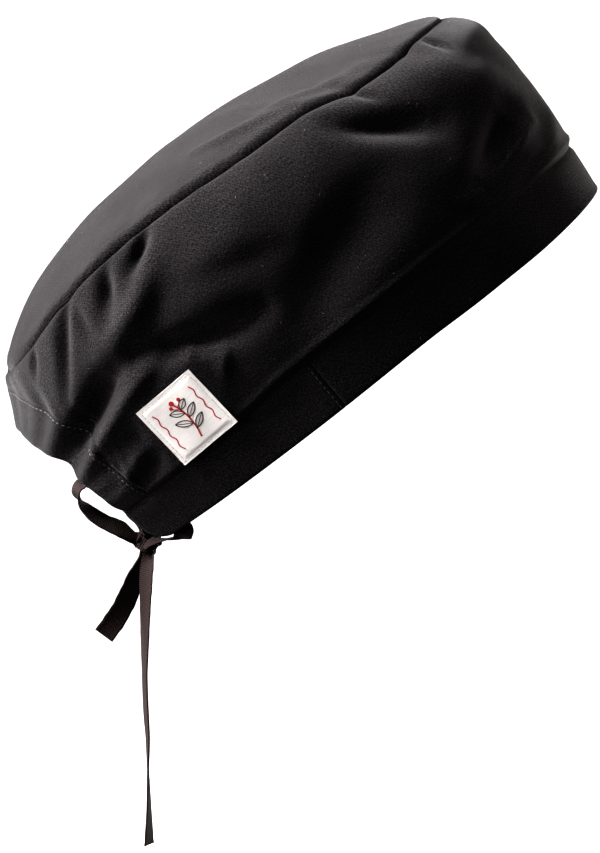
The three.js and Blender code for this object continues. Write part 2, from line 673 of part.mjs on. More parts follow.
const LONG_TAIL_ROUTE = [
  { x: 0.4, y: -1.6, z: -4.9, wx: 0.75, wy: -0.66, wz: 0, share: 0.65 },
  { x: -0.5, y: -1.8, z: -10, wx: 0.62, wy: -0.78, wz: 0, share: 0.95 },
  { x: -0.8, y: -1.4, z: -17, wx: 0.52, wy: -0.85, wz: 0 },
  { x: -1, y: -0.8, z: -25, wx: 0.42, wy: -0.9, wz: 0 },
  { x: -1.3, y: -0.4, z: -38, wx: 0.3, wy: -0.95, wz: 0 },
  { x: -1.4, y: 0, z: -51.5, wx: 0.16, wy: -0.99, wz: 0 },
  { x: -0.9, y: 0.3, z: -65, wx: 0.16, wy: -0.99, wz: 0 },
  { x: -0.3, y: 0.4, z: -74, wx: 0.1, wy: -0.99, wz: 0 },
  { x: -0.2, y: 0.3, z: -85, wx: -0.02, wy: -1, wz: 0 },
  { x: 0, y: 0, z: -100, wx: -0.2, wy: -0.98, wz: 0 },
  { x: -0.1, y: -0.2, z: -114, wx: -0.46, wy: -0.89, wz: 0 },
];

const CLOTH_FINISH = { color: 0x2b282b, roughness: 0.85, metalness: 0 };
const LABEL_FINISH = { color: 0xece6e0, roughness: 0.6, metalness: 0 };
const TAPE_FINISH = { color: 0x2c2424, roughness: 0.8, metalness: 0 };

function piece(name, geometry, finish) {
  const mesh = new THREE.Mesh(geometry, new THREE.MeshStandardMaterial(finish));
  mesh.name = name;
  return mesh;
}

const cap = new THREE.Group();
cap.rotation.y = -TIP_BACK;
cap.add(piece("crown", crown(), CLOTH_FINISH));
cap.add(piece("side_panel", sidePanel(), CLOTH_FINISH));
cap.add(piece("nape_hem", hem(), CLOTH_FINISH));

const band = bandAngles();
cap.add(piece("band_front", bandPiece(band.across, null), CLOTH_FINISH));
for (const { name, sign } of SIDES) {
  const height = BAND_HEIGHT / 2;
  const corner = {
    distance: (angle) => sidePoint(angle, height).distanceTo(sidePoint(sign * band.end, height)),
  };
  const angles = band.rear.map((angle) => sign * angle);
  cap.add(piece(`band_rear_${name}`, bandPiece(angles, corner), CLOTH_FINISH));
}
cap.add(piece("label", label(), LABEL_FINISH));

const ties = new THREE.Group();
for (const { name, sign } of SIDES) ties.add(piece(`tie_lead_${name}`, tape(leadRoute(sign)), TAPE_FINISH));
ties.add(piece("bow_knot", knot(), TAPE_FINISH));
ties.add(piece("bow_loop", tape(LOOP_ROUTE), TAPE_FINISH));
ties.add(piece("tie_tail_short", tape(SHORT_TAIL_ROUTE), TAPE_FINISH));
ties.add(piece("tie_tail_long", tape(LONG_TAIL_ROUTE), TAPE_FINISH));

const group = new THREE.Group();
group.add(cap, ties);

export default group;
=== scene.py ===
# %% [markdown]
# # A tie-back scrub cap
#
# A scrub cap is sewn from a few flat panels of thin cloth: an oval crown, a side panel that goes
# round the head, a narrow band at the rim and a hemmed opening at the nape, where two flat tapes
# are tied in a half bow. Nothing in it is stiff, so all its character lies in soft folds, in
# puckers along the seams and in the cloth itself.
#
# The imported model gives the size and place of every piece. This script gives each one its looks.

import math

import bpy
import numpy as np
from mathutils import Matrix, Vector


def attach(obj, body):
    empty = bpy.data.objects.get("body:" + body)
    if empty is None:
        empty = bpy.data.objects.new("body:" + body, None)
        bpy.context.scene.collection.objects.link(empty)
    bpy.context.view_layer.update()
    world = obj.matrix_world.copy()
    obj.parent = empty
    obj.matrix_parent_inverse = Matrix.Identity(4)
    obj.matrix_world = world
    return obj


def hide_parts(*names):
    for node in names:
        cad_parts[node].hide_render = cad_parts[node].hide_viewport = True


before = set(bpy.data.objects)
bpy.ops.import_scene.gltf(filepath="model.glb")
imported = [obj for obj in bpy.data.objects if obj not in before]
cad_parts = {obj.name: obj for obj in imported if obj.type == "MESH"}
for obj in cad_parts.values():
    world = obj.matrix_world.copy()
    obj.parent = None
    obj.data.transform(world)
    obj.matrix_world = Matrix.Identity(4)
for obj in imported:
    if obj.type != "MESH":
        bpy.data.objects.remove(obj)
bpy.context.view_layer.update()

# %% [markdown]
# The camera looks at the wearer's right side, a little from behind and from above. A long lens far
# away keeps the sides of the cap parallel, as in a product photograph. The frame is 600 by 853
# pixels, and one pixel covers 0.37 mm at the cap, so the lens follows from those two sizes.

# %% Set up the camera
FRAME_HEIGHT = 853  # pixels
PIXEL = 0.00037  # metres at the cap
CAMERA_AWAY = 1.3
TO_CAMERA = Vector((-0.0759, -0.9925, 0.0954)).normalized()
AIM = (-65, -66.5)  # the middle of the frame, in pixels from the middle of the head opening

camera = bpy.data.objects.new("camera", bpy.data.cameras.new("camera"))
bpy.context.scene.collection.objects.link(camera)
bpy.context.scene.camera = camera
right = Vector((0, 0, 1)).cross(TO_CAMERA).normalized()
above = TO_CAMERA.cross(right)
aim = (right * AIM[0] + above * AIM[1]) * PIXEL
camera.matrix_world = Matrix.Translation(aim + TO_CAMERA * CAMERA_AWAY) @ Matrix(
    (right, above, TO_CAMERA)
).transposed().to_4x4()
camera.data.sensor_fit = "VERTICAL"
camera.data.sensor_height = 24
camera.data.lens = camera.data.sensor_height * CAMERA_AWAY / (FRAME_HEIGHT * PIXEL)
print("Lens of %.1f mm" % camera.data.lens)

# %% [markdown]
# ## The shape that all the panels share
#
# The panels are parts of one surface, as they were before they were cut and sewn. A point of it is
# given by its angle from the forehead and its height above the rim. Short tables hold the outline
# at a few heights, and a smooth curve through each column gives all the outlines between them.
# Working from a rule keeps neighbours exactly together: the crown and the side panel meet on one
# seam line, because both ask the same function for it.
#
# Lengths here are millimetres in the cap's own axes: X to the forehead, Y to the wearer's left and
# Z to the crown.

# %% Sizes of the sewn cap
HALF_LENGTH = 114
HALF_WIDTH = 80
SIDE_HEIGHT = 95
CROWN_TOP = 107.2
BAND_HEIGHT = 20.5
BAND_INSET = 1
TIP_BACK = math.radians(38.5)
SEAM_ROLL = 3.2  # the distance in which the cloth rises out of a seam
FOLD_FADE = 7  # and the one in which a fold does
SEAM_DEPTH = 2.2  # how deep the crown seam is drawn in
BAND_TUCK = 2  # how deep the cloth is drawn in along the band's upper seam
OPENING_HALF_WIDTH = 59
OPENING_HEIGHT = 62
OPENING_STRAIGHT = 24  # the height up to which its sides stand straight
OPENING_POWER = 1.8  # 2 would make its top a half ellipse, and less makes it more pointed
HEM_WIDTH = 14
CORNER_RADIUS = 8
LABEL_SIDE = 25.4
LABEL_BEHIND = 63  # from the cap's middle to the label's
LABEL_OVERHANG = 1.4  # how far it reaches down over the band
LABEL_TURN = math.radians(3)
LABEL_FLAT = 7  # the distance in which the cloth under it comes to lie flat
BAND_JOIN_BEHIND = 17.5  # from the cap's middle to the band's joins
SQUARE_FRONT = 2.15  # 2 would make the front of an outline a half ellipse
CROWN_POWER_FRONT = 1.8  # how late the dome falls off towards its rim
CROWN_POWER_BACK = 3.1
SEAM_SHARE_AHEAD = 0.74  # the share of the crown seam that lies ahead of the opening
GROOVE_DEPTH = 1.9  # the narrow crease right on the crown seam
GROOVE_WIDTH = 0.55
HEM_DIMPLE = 0.2  # how deep the hem's stitches draw in
RIPPLE = 0.6  # height of the hem's gathers
PLY = 0.6  # thickness of the cloth
PLY_GAP = 0.1  # between two plies that lie on each other

SIDE_LEVELS = {
    "up": (0.0, 0.2, 0.4, 0.6, 0.75, 0.87, 1.0),
    "front": (0.946, 0.962, 0.974, 0.972, 0.967, 0.957, 0.885),
    "back": (1.12, 1.165, 1.175, 1.1, 1.02, 0.97, 0.93),
    "wide": (0.95, 0.972, 0.998, 0.995, 0.97, 0.92, 0.83),
    "square": (2.0, 2.0, 2.0, 2.05, 2.15, 2.3, 2.5),
}
SEAM_HEIGHTS = {
    "round": (0.0, 0.08, 0.14, 0.2, 0.26, 0.33, 0.46, 0.6, 0.72, 0.8, 0.88, 1.0),
    "high": (0.868, 0.885, 0.892, 0.885, 0.905, 0.952, 0.97, 0.994, 0.99, 0.955, 0.888, 0.85),
}
BAND_EDGES = {
    "round": (0.0, 0.1, 0.2, 0.3, 0.42, 0.6, 0.7, 0.8, 1.0),
    "rim": (-0.15, -0.14, -0.12, -0.06, 0, 0, 0, 0, 0),
    "top": (0.75, 0.79, 0.87, 0.96, 1, 1, 0.9, 0.82, 0.82),
}


# %% Curves, outlines and normals
def along(table, key, column, at):
    """A smooth curve through one column of a table, read at values of another column."""
    x = np.array(table[key], float)
    y = np.array(table[column], float)
    at = np.clip(at, x[0], x[-1])
    i = np.clip(np.searchsorted(x, at) - 1, 0, len(x) - 2)
    ends = np.arange(len(x))
    before, after = np.maximum(ends - 1, 0), np.minimum(ends + 1, len(x) - 1)
    slope = (y[after] - y[before]) / (x[after] - x[before])
    step = x[i + 1] - x[i]
    t = (at - x[i]) / step
    rise = y[i + 1] - y[i]
    m0, m1 = slope[i] * step, slope[i + 1] * step
    return y[i] + t * m0 + t**2 * (3 * rise - 2 * m0 - m1) + t**3 * (m0 + m1 - 2 * rise)


def lerp(a, b, t):
    return a + (b - a) * t


def smooth_step(x, low, high):
    t = np.clip((x - low) / (high - low), 0, 1)
    return t * t * (3 - 2 * t)


def roll(distance, width=SEAM_ROLL):
    """1 on a seam, falling away from it as the cloth rises out of the seam."""
    return np.exp(-np.maximum(distance, 0) / width)


def unit(vectors):
    return vectors / np.linalg.norm(vectors, axis=-1, keepdims=True)


def seam_height(angle):
    return SIDE_HEIGHT * along(SEAM_HEIGHTS, "round", "high", np.abs(angle) / math.pi)


def band_edge(angle, edge):
    """The height of the band's "rim" or "top", which dip at the forehead."""
    return BAND_HEIGHT * along(BAND_EDGES, "round", edge, np.abs(angle) / math.pi)


def outline_point(angle, share, height):
    c, s = np.cos(angle), np.sin(angle)
    front = along(SIDE_LEVELS, "up", "front", share)
    back = along(SIDE_LEVELS, "up", "back", share)
    long = HALF_LENGTH * np.where(c >= 0, front, back)
    wide = HALF_WIDTH * along(SIDE_LEVELS, "up", "wide", share)
    power = np.where(c >= 0, SQUARE_FRONT, along(SIDE_LEVELS, "up", "square", share))
    reach = (np.abs(c / long) ** power + np.abs(s / wide) ** power) ** (-1 / power)
    return np.stack([reach * c, reach * s, height + 0 * reach], axis=-1)


def side_point(angle, height):
    """A point of the smooth side, before its folds."""
    return outline_point(angle, height / seam_height(angle), height)


def side_normal(angle, height):
    turn, rise = 0.01, SIDE_HEIGHT / 190
    across = side_point(angle + turn, height) - side_point(angle - turn, height)
    up = side_point(angle, height + rise) - side_point(angle, height - rise)
    return unit(np.cross(across, up))


def to_row(points):
    """From the cap's own axes in millimetres to the model's in metres, tipped back."""
    c, s = math.cos(TIP_BACK), math.sin(TIP_BACK)
    x, y, z = np.moveaxis(np.asarray(points, float), -1, 0)
    return np.stack([x * c - z * s, y, x * s + z * c], axis=-1) * 0.001


rim = to_row(side_point(np.linspace(-math.pi, math.pi, 361), 0.0))
girth = np.linalg.norm(np.diff(rim, axis=0), axis=1).sum()
print("The whole oval of the rim would measure %.0f mm round" % (girth * 1000))


# %% Places along the cloth
def angle_ahead(ahead, height):
    """The angle of a point that lies ahead of the cap's middle, or behind it if negative."""
    turns = np.linspace(0, math.pi, 2000)
    return float(np.interp(-ahead, -side_point(turns, height)[:, 0], turns))


def angle_from_nape(distance, height):
    """The angle of a point at a distance along the cloth from the middle of the nape."""
    turns = np.linspace(math.pi, math.pi * 0.4, 800)
    steps = np.linalg.norm(np.diff(side_point(turns, height), axis=0), axis=1)
    return float(np.interp(distance, np.concatenate([[0], np.cumsum(steps)]), turns))


def arch_point(margin, foot, t):
    """The arch of the opening, widened by a margin: t is 0 at its foot and 1 at its top."""
    straight = OPENING_STRAIGHT - foot
    turned = OPENING_HALF_WIDTH + OPENING_HEIGHT - OPENING_STRAIGHT
    share_straight = straight / (straight + turned * 0.8)
    half = OPENING_HALF_WIDTH + margin
    if t < share_straight:
        height = foot + straight * t / share_straight
        return angle_from_nape(half, height), height
    bend = (t - share_straight) / (1 - share_straight) * math.pi / 2
    power = 2 / OPENING_POWER
    rise = OPENING_HEIGHT + margin - OPENING_STRAIGHT
    height = OPENING_STRAIGHT + rise * math.sin(bend) ** power
    return angle_from_nape(half * max(math.cos(bend), 0) ** power, height), height


def dot(a, b):
    return np.sum(np.asarray(a) * b, axis=-1)


HEM_FOOT = float(band_edge(math.pi, "top"))
turns = np.linspace(-math.pi, math.pi, 721)
steps = np.linalg.norm(np.diff(side_point(turns, SIDE_HEIGHT / 2), axis=0), axis=1)
girth_at = np.concatenate([[0], np.cumsum(steps)]) - steps.sum() / 2


def on_cloth(angle, height):
    """The place on the flat cloth, in millimetres round and up, so that the weave runs on."""
    around = np.interp(angle, turns, girth_at)
    return np.stack([around, height + 0 * around], axis=-1)


label_up = BAND_HEIGHT - LABEL_OVERHANG + LABEL_SIDE / 2
label_angle = -angle_ahead(-LABEL_BEHIND, label_up)
label_seat = side_point(label_angle, label_up)
label_out = side_normal(label_angle, label_up)
level = unit(np.cross([0, 0, 1], label_out))
label_along = level * math.cos(LABEL_TURN) + np.cross(label_out, level) * math.sin(LABEL_TURN)
label_rise = np.cross(label_out, label_along)


def under_label(points):
    """1 under the label, falling to 0 round it."""
    offset = points - label_seat
    reach = np.maximum(np.abs(dot(offset, label_along)), np.abs(dot(offset, label_rise)))
    near = np.linalg.norm(offset, axis=-1) < LABEL_SIDE + LABEL_FLAT
    return near * (1 - smooth_step(reach, LABEL_SIDE / 2 + 1, LABEL_SIDE / 2 + LABEL_FLAT))


print("The label's middle lies at", to_row(label_seat).round(4))

# %% [markdown]
# ## Meshes from grids of points
#
# Every panel is a grid of points on its outer face. A wall behind the grid and a strip along its
# open edges make it one closed body of cloth with a real thickness. The same helper writes a UV map
# whose units are decimetres of cloth, so that the weave runs along the panel and keeps its scale
# however the panel is folded.


# %% Grids to closed cloth
def solid_from(name, points, faces, corners=None):
    """A mesh object from points in the model's axes, with its faces turned outward."""
    points = np.asarray(points, float)
    triangles = np.array([f[:3] for f in faces] + [(f[0], f[2], f[3]) for f in faces if len(f) == 4])
    a, b, c = (points[triangles[:, k]] for k in range(3))
    if np.sum(dot(a, np.cross(b, c))) < 0:
        faces = [f[::-1] for f in faces]
        corners = corners and [c[::-1] for c in corners]
    mesh = bpy.data.meshes.new(name)
    mesh.from_pydata([tuple(p) for p in points], [], faces)
    if corners:
        layer = mesh.uv_layers.new(name="cloth")
        flat = np.concatenate([np.asarray(c, float) for c in corners])
        layer.data.foreach_set("uv", flat.ravel())
    mesh.shade_smooth()
    mesh.set_sharp_from_angle(angle=math.radians(60))
    mesh.validate()
    piece = bpy.data.objects.new(name, mesh)
    bpy.context.scene.collection.objects.link(piece)
    return piece


def own_lengths(grid):
    """Places on the flat cloth by the grid's own lengths, across its middle row and down."""
    across = np.linalg.norm(np.diff(grid[len(grid) // 2], axis=0), axis=1)
    down = np.zeros(grid.shape[:2])
    down[1:] = np.cumsum(np.linalg.norm(np.diff(grid, axis=0), axis=2), axis=0)
    u = np.concatenate([[0], np.cumsum(across)])
    return np.stack([np.broadcast_to(u, down.shape), down], axis=-1)


def shell(name, outer, thickness, wraps=False, peak=None, cloth=None):
    """One closed body of cloth behind a grid of outer points in the cap's axes, rows by columns.

    cloth gives each point's place on the flat cloth, in millimetres, with one more column if the
    grid wraps. Without it, the places follow the grid's own lengths.
    """
    rows, columns = outer.shape[:2]
    if wraps:
        across = np.roll(outer, -1, axis=1) - np.roll(outer, 1, axis=1)
    else:
        across = np.gradient(outer, axis=1)
    capped = outer if peak is None else np.concatenate([outer, np.tile(peak, (1, columns, 1))])
    down = np.gradient(capped, axis=0)[:rows]
    inner = outer - thickness * unit(np.cross(across, down))
    points = [outer.reshape(-1, 3), inner.reshape(-1, 3)]

    uv = (own_lengths(outer) if cloth is None else cloth) / 100

    index = np.arange(rows * columns).reshape(rows, columns)
    index = np.concatenate([index, index[:, :1]], axis=1) if wraps else index
    under = index + rows * columns
    grid = lambda g: [g[:-1, :-1], g[:-1, 1:], g[1:, 1:], g[1:, :-1]]
    top, back, tex = grid(index), grid(under), grid(np.arange(uv[..., 0].size).reshape(uv.shape[:2]))
    quads = [(top, tex), (back[::-1], tex[::-1])]
    strips = [[index[0, 1:], index[0, :-1], under[0, :-1], under[0, 1:]]]
    if peak is None:
        strips.append([index[-1, :-1], index[-1, 1:], under[-1, 1:], under[-1, :-1]])
    if not wraps:
        strips.append([index[:-1, 0], index[1:, 0], under[1:, 0], under[:-1, 0]])
        strips.append([index[1:, -1], index[:-1, -1], under[:-1, -1], under[1:, -1]])
    faces, corners = [], []
    flat_uv = uv.reshape(-1, 2)
    at = lambda k: flat_uv[k % (rows * columns) // columns * uv.shape[1] + k % columns].tolist()
    for verts, places in quads:
        faces += np.stack([g.ravel() for g in verts], axis=1).tolist()
        corners += flat_uv[np.stack([g.ravel() for g in places], axis=1)].tolist()
    for verts in strips:
        strip = np.stack(verts, axis=1).tolist()
        faces += strip
        corners += [[at(k) for k in face] for face in strip]
    if peak is not None:
        tip = 2 * rows * columns
        points.append(np.stack([peak, peak - [0, 0, thickness]]))
        mid = uv[-1].mean(axis=0).tolist()
        for j in range(columns):
            a, b = int(index[-1, j]), int(index[-1, j + 1])
            ends = [uv[-1, j].tolist(), uv[-1, j + 1].tolist()]
            faces += [(a, b, tip), (b + rows * columns, a + rows * columns, tip + 1)]
            corners += [[*ends, mid], [*ends[::-1], mid]]
    return solid_from(name, to_row(np.concatenate(points)), [tuple(f) for f in faces], corners)


# %% [markdown]
# ## The ties
#
# Two tapes of 8 mm twill are sewn inside the band's rear ends and tied in a half bow. The tape from
# the right goes through the knot and hangs as the long tail. The one from the left goes through it,
# makes the loop, comes back and ends as the short tail. A tape bends easily across its thickness
# and not at all across its width, so its route has two columns: where the tape is and which way its
# width points. Both run through the same smooth curve.

# %% Routes of the two tapes, in metres from the knot
KNOT_PLACE = np.array([-0.0806, 0, -0.0668])
TAPE_WIDTH = 0.008
TAPE_THICKNESS = 0.0009
TAPE_BODY = 0.74  # thickness of the tape's middle, as a share of its selvedges'
KNOT_DEPTH = 0.008

# Each row: place of the tape, direction of its width, and its gathered width as a share.
LOOP = [
    (-0.0049, -0.0012, 0.0016, 0.1, 0.6, 0.75, 0.65),
    (-0.0104, -0.0020, 0.0050, 0.1, 0.74, 0.66, 1),
    (-0.0160, -0.0025, 0.0077, 0.1, 0.8, 0.6, 1),
    (-0.0210, -0.0022, 0.0112, 0, 0.8, 0.58, 1),
    (-0.0244, -0.0012, 0.0150, -0.15, 0.82, 0.5, 1),
    (-0.0256, 0.0004, 0.0189, -0.3, 0.85, 0.4, 1),
    (-0.0240, 0.0018, 0.0214, -0.2, 0.93, 0.3, 1),
    (-0.0204, 0.0027, 0.0206, 0, 0.98, 0.18, 1),
    (-0.0156, 0.0030, 0.0173, 0.05, 0.99, 0.1, 1),
    (-0.0106, 0.0026, 0.0134, 0, 1, 0.05, 1),
    (-0.0062, 0.0018, 0.0092, 0, 1, 0.1, 0.9),
    (-0.0030, 0.0010, 0.0049, 0, 1, 0.2, 0.65),
]
SHORT_TAIL = [
    (-0.0016, 0.0016, -0.0049, 0.7, 0.7, 0, 0.6),
    (-0.0030, 0.0024, -0.0095, 0.75, 0.65, -0.1, 0.85),
    (-0.0046, 0.0030, -0.0140, 0.8, 0.55, -0.2, 1),
    (-0.0064, 0.0030, -0.0186, 0.82, 0.4, -0.35, 1),
    (-0.0092, 0.0024, -0.0246, 0.8, 0.25, -0.5, 1),
    (-0.0126, 0.0016, -0.0300, 0.74, 0.12, -0.62, 1),
    (-0.0165, 0.0006, -0.0352, 0.72, 0, -0.69, 1),
]
LONG_TAIL = [
    (0.0004, -0.0016, -0.0049, 0.75, -0.66, 0, 0.65),
    (-0.0005, -0.0018, -0.0100, 0.62, -0.78, 0, 0.95),
    (-0.0008, -0.0014, -0.0170, 0.52, -0.85, 0, 1),
    (-0.0010, -0.0008, -0.0250, 0.42, -0.9, 0, 1),
    (-0.0013, -0.0004, -0.0380, 0.3, -0.95, 0, 1),
    (-0.0014, 0, -0.0515, 0.16, -0.99, 0, 1),
    (-0.0009, 0.0003, -0.0650, 0.16, -0.99, 0, 1),
    (-0.0003, 0.0004, -0.0740, 0.1, -0.99, 0, 1),
    (-0.0002, 0.0003, -0.0850, -0.02, -1, 0, 1),
    (0, 0, -0.1000, -0.2, -0.98, 0, 1),
    (-0.0001, -0.0002, -0.1140, -0.46, -0.89, 0, 1),
]
LEAD_HANG = [
    (0.12, 0.0002, 0.8, -0.5, 0.1, 0.8),
    (0.35, 0.0004, 0.8, -0.25, 0.1, 0.75),
    (0.6, 0.0004, 0.85, -0.1, 0.2, 0.75),
    (0.82, 0.0003, 0.8, 0, 0.4, 0.8),
    (1, 0, 0.7, 0, 0.7, 0.65),
]
LEAD_STRAIGHT = 0.003
LEAD_TOP = 0.55
LEAD_UNDER_RIM = 3
LEAD_INSIDE = BAND_INSET + 2 + 0.4 + 0.3 + 0.5  # from the outline to the middle of the tape


def lead_route(sign):
    """The stretch from the band's inner face, under the rim and on to the knot."""
    angle = sign * angle_from_nape(OPENING_HALF_WIDTH + CORNER_RADIUS, 0)

    def place(height):
        inside = side_point(angle, height) - LEAD_INSIDE * side_normal(angle, height)
        return to_row(inside) - KNOT_PLACE

    ahead = unit(to_row(side_point(angle - sign * 0.05, 0) - side_point(angle, 0)))
    rows = []
    for share in (LEAD_TOP, LEAD_TOP / 2, 0):
        rows.append((*place(share * BAND_HEIGHT), *ahead, 1))
    rim_place = place(-LEAD_UNDER_RIM)
    knot_side = KNOT_DEPTH / 2 + 0.0003
    end = np.array([0, sign * (knot_side + LEAD_STRAIGHT), 0.0004])
    for share, drop, wx, wy, wz, gathered in LEAD_HANG:
        x, y, z = lerp(rim_place, end, share)
        rows.append((x, y, z - drop, wx, -sign * wy, wz, gathered))
    rows.append((rows[-1][0], sign * knot_side, *rows[-1][2:]))
    return rows


# %% A smooth curve through chosen points
def smooth_curve(rows, per_span):
    """Points along a centripetal spline through the rows' places and width directions."""

    def spline(points):
        points = np.concatenate([[2 * points[0] - points[1]], points, [2 * points[-1] - points[-2]]])
        out = []
        for i in range(1, len(points) - 2):
            p0, p1, p2, p3 = points[i - 1 : i + 3]
            spans = ((p0, p1), (p1, p2), (p2, p3))
            d0, d1, d2 = (max(np.linalg.norm(b - a) ** 0.5, 1e-6) for a, b in spans)
            m1 = ((p1 - p0) / d0 - (p2 - p0) / (d0 + d1) + (p2 - p1) / d1) * d1
            m2 = ((p2 - p1) / d1 - (p3 - p1) / (d1 + d2) + (p3 - p2) / d2) * d1
            t = np.arange(per_span)[:, None] / per_span
            a, b = 2 * p1 - 2 * p2 + m1 + m2, -3 * p1 + 3 * p2 - 2 * m1 - m2
            out.append(p1 + m1 * t + b * t**2 + a * t**3)
        return np.concatenate(out + [points[-2][None]])

    table = np.array(rows, float)
    return spline(table[:, :3]), spline(table[:, 3:6]), spline(np.repeat(table[:, 6:], 2, axis=1))[:, 0]


def tape(name, rows, per_span=12, seed=1):
    """A flat woven tape along a route, with its selvedges a little thicker and its face cupped."""
    centre, wide, share = smooth_curve(rows, per_span)
    tangent = unit(np.gradient(centre, axis=0))
    wide = unit(wide - dot(wide, tangent)[:, None] * tangent)
    thick = np.cross(tangent, wide)
    run = np.concatenate([[0], np.cumsum(np.linalg.norm(np.diff(centre, axis=0), axis=1))])
    across = np.linspace(-1, 1, 15)
    section = [(a, 1) for a in across] + [(a, -1) for a in across[::-1]]
    out = np.abs(across)
    swell = lerp(TAPE_BODY, 1, smooth_step(out, 0.7, 0.9)) - 0.5 * smooth_step(out, 0.93, 1)
    sides = list(swell) + list(swell[::-1])
    phase = np.random.default_rng(seed).uniform(0, 2 * math.pi, 4)
    cup = 0.05 * np.sin(run * 90 + phase[0]) + 0.5 * (1 - share)
    edge = 1 + 0.02 * np.sin(run * 700 + phase[1]) + 0.015 * np.sin(run * 1500 + phase[2])
    points, corners_at = [], []
    for i, place in enumerate(centre):
        half = TAPE_WIDTH / 2 * share[i]
        for (a, face), side in zip(section, sides):
            bowl = cup[i] * TAPE_WIDTH / 2 * (a * a - 0.35)
            lift = face * side * TAPE_THICKNESS / 2 + bowl
            points.append(place + KNOT_PLACE + wide[i] * half * edge[i] * a + thick[i] * lift)
            corners_at.append((a * TAPE_WIDTH / 2 * 10, run[i] * 10))
    count, sides_n = len(centre), len(section)
    faces = []
    for i in range(count - 1):
        for j in range(sides_n):
            k = (j + 1) % sides_n
            a, b = i * sides_n, (i + 1) * sides_n
            faces.append((a + j, a + k, b + k, b + j))
    half_n = len(across)
    for base, order in ((0, 1), ((count - 1) * sides_n, -1)):
        for j in range(half_n - 1):
            quad = (base + j, base + sides_n - 1 - j, base + sides_n - 2 - j, base + j + 1)
            faces.append(quad[::order])
    corners = [[corners_at[v] for v in face] for face in faces]
    piece = solid_from(name, points, faces, corners)
    return piece, centre + KNOT_PLACE, float(run[-1])


right_rows = lead_route(-1) + [(0.0003, -0.0008, -0.0015, 0.75, -0.3, 0.3, 0.6)] + LONG_TAIL
left_rows = (
    lead_route(1)
    + [(-0.0012, 0.0012, 0.0008, 0.4, 0.3, 0.7, 0.6)]
    + LOOP
    + [(-0.0016, 0.0012, 0.0, 0.4, 0.85, 0.1, 0.6)]
    + SHORT_TAIL
)
tape_right, right_path, right_length = tape("tie_tape_right", right_rows, seed=3)
tape_left, left_path, left_length = tape("tie_tape_left", left_rows, seed=5)
print("Tapes of %.0f and %.0f mm" % (right_length * 1000, left_length * 1000))

# %% [markdown]
# ## Folds of the side panel
#
# Each fold is a row of a table: it starts, passes and ends at three places on the cloth, and lifts
# or sinks the cloth by a bell-shaped profile across that line. Places are shares of half the girth
# and of the panel's height, so the folds move with the sizes.

# %% Tables of folds
# name, three places round, three places up, width, depth, share of it on the other side
SIDE_FOLDS = [
    ("front_bulge", (0.21, 0.166, 0.122), (0.8, 0.66, 0.45), 0.11, 0.035, 0.9),
    ("front_valley", (0.33, 0.28, 0.24), (0.83, 0.71, 0.6), 0.058, -0.07, 0.6),
    ("brow_valley", (0.15, 0.185, 0.235), (0.45, 0.4, 0.33), 0.06, -0.08, 0.7),
    ("brow_ridge", (0.125, 0.19, 0.26), (0.36, 0.335, 0.3), 0.036, 0.035, 0.7),
    ("brow_roll", (0.06, 0.091, 0.151), (0.417, 0.259, 0.23), 0.06, 0.015, 1),
    ("middle_hollow", (0.561, 0.45, 0.341), (0.32, 0.444, 0.558), 0.12, -0.045, 0.8),
    ("upper_hollow", (0.345, 0.43, 0.52), (0.6, 0.56, 0.5), 0.09, -0.014, 0.5),
    ("ear_bulge", (0.66, 0.6, 0.5), (0.64, 0.7, 0.78), 0.12, 0.035, 0.9),
    ("soft_valley", (0.5, 0.57, 0.64), (0.62, 0.67, 0.72), 0.05, -0.017, 0.5),
    ("high_ridge", (0.66, 0.705, 0.765), (0.85, 0.765, 0.705), 0.055, 0.05, 0.8),
    ("ear_valley", (0.575, 0.65, 0.735), (0.48, 0.525, 0.625), 0.05, -0.066, 0.8),
    ("rear_valley", (0.775, 0.822, 0.888), (0.615, 0.555, 0.44), 0.055, -0.09, 0.7),
    ("rear_ridge", (0.72, 0.785, 0.85), (0.58, 0.5, 0.42), 0.042, 0.045, 0.8),
    ("tie_valley", (0.72, 0.755, 0.785), (0.47, 0.43, 0.37), 0.035, -0.022, 0.6),
]
FINE_FOLDS = [
    ("front_top_pucker", (0.135, 0.14, 0.146), (0.875, 0.83, 0.775), 0.014, -0.018, 0.3),
    ("seam_pucker_front", (0.264, 0.262, 0.258), (0.885, 0.85, 0.8), 0.02, -0.014, 0.4),
    ("seam_wedge", (0.65, 0.668, 0.69), (0.96, 0.93, 0.885), 0.026, -0.045, 0.4),
    ("seam_hollow", (0.722, 0.732, 0.742), (0.945, 0.88, 0.81), 0.034, -0.045, 0.5),
    ("long_crease", (0.788, 0.81, 0.84), (0.945, 0.82, 0.65), 0.026, -0.03, 0.5),
    ("fan_crease", (0.78, 0.776, 0.772), (0.93, 0.86, 0.79), 0.024, -0.014, 0.5),
    ("nape_crease", (0.86, 0.866, 0.873), (0.87, 0.83, 0.78), 0.018, -0.014, 0.4),
    ("low_hollow", (0.78, 0.8, 0.82), (0.29, 0.26, 0.222), 0.028, -0.022, 0.4),
    ("low_ridge", (0.835, 0.815, 0.79), (0.26, 0.3, 0.34), 0.025, 0.016, 0.4),
    ("brow_hollow", (0.12, 0.16, 0.2), (0.26, 0.24, 0.22), 0.025, -0.014, 0.5),
    ("label_ridge", (0.64, 0.655, 0.67), (0.47, 0.42, 0.36), 0.025, 0.012, 0.3),
]


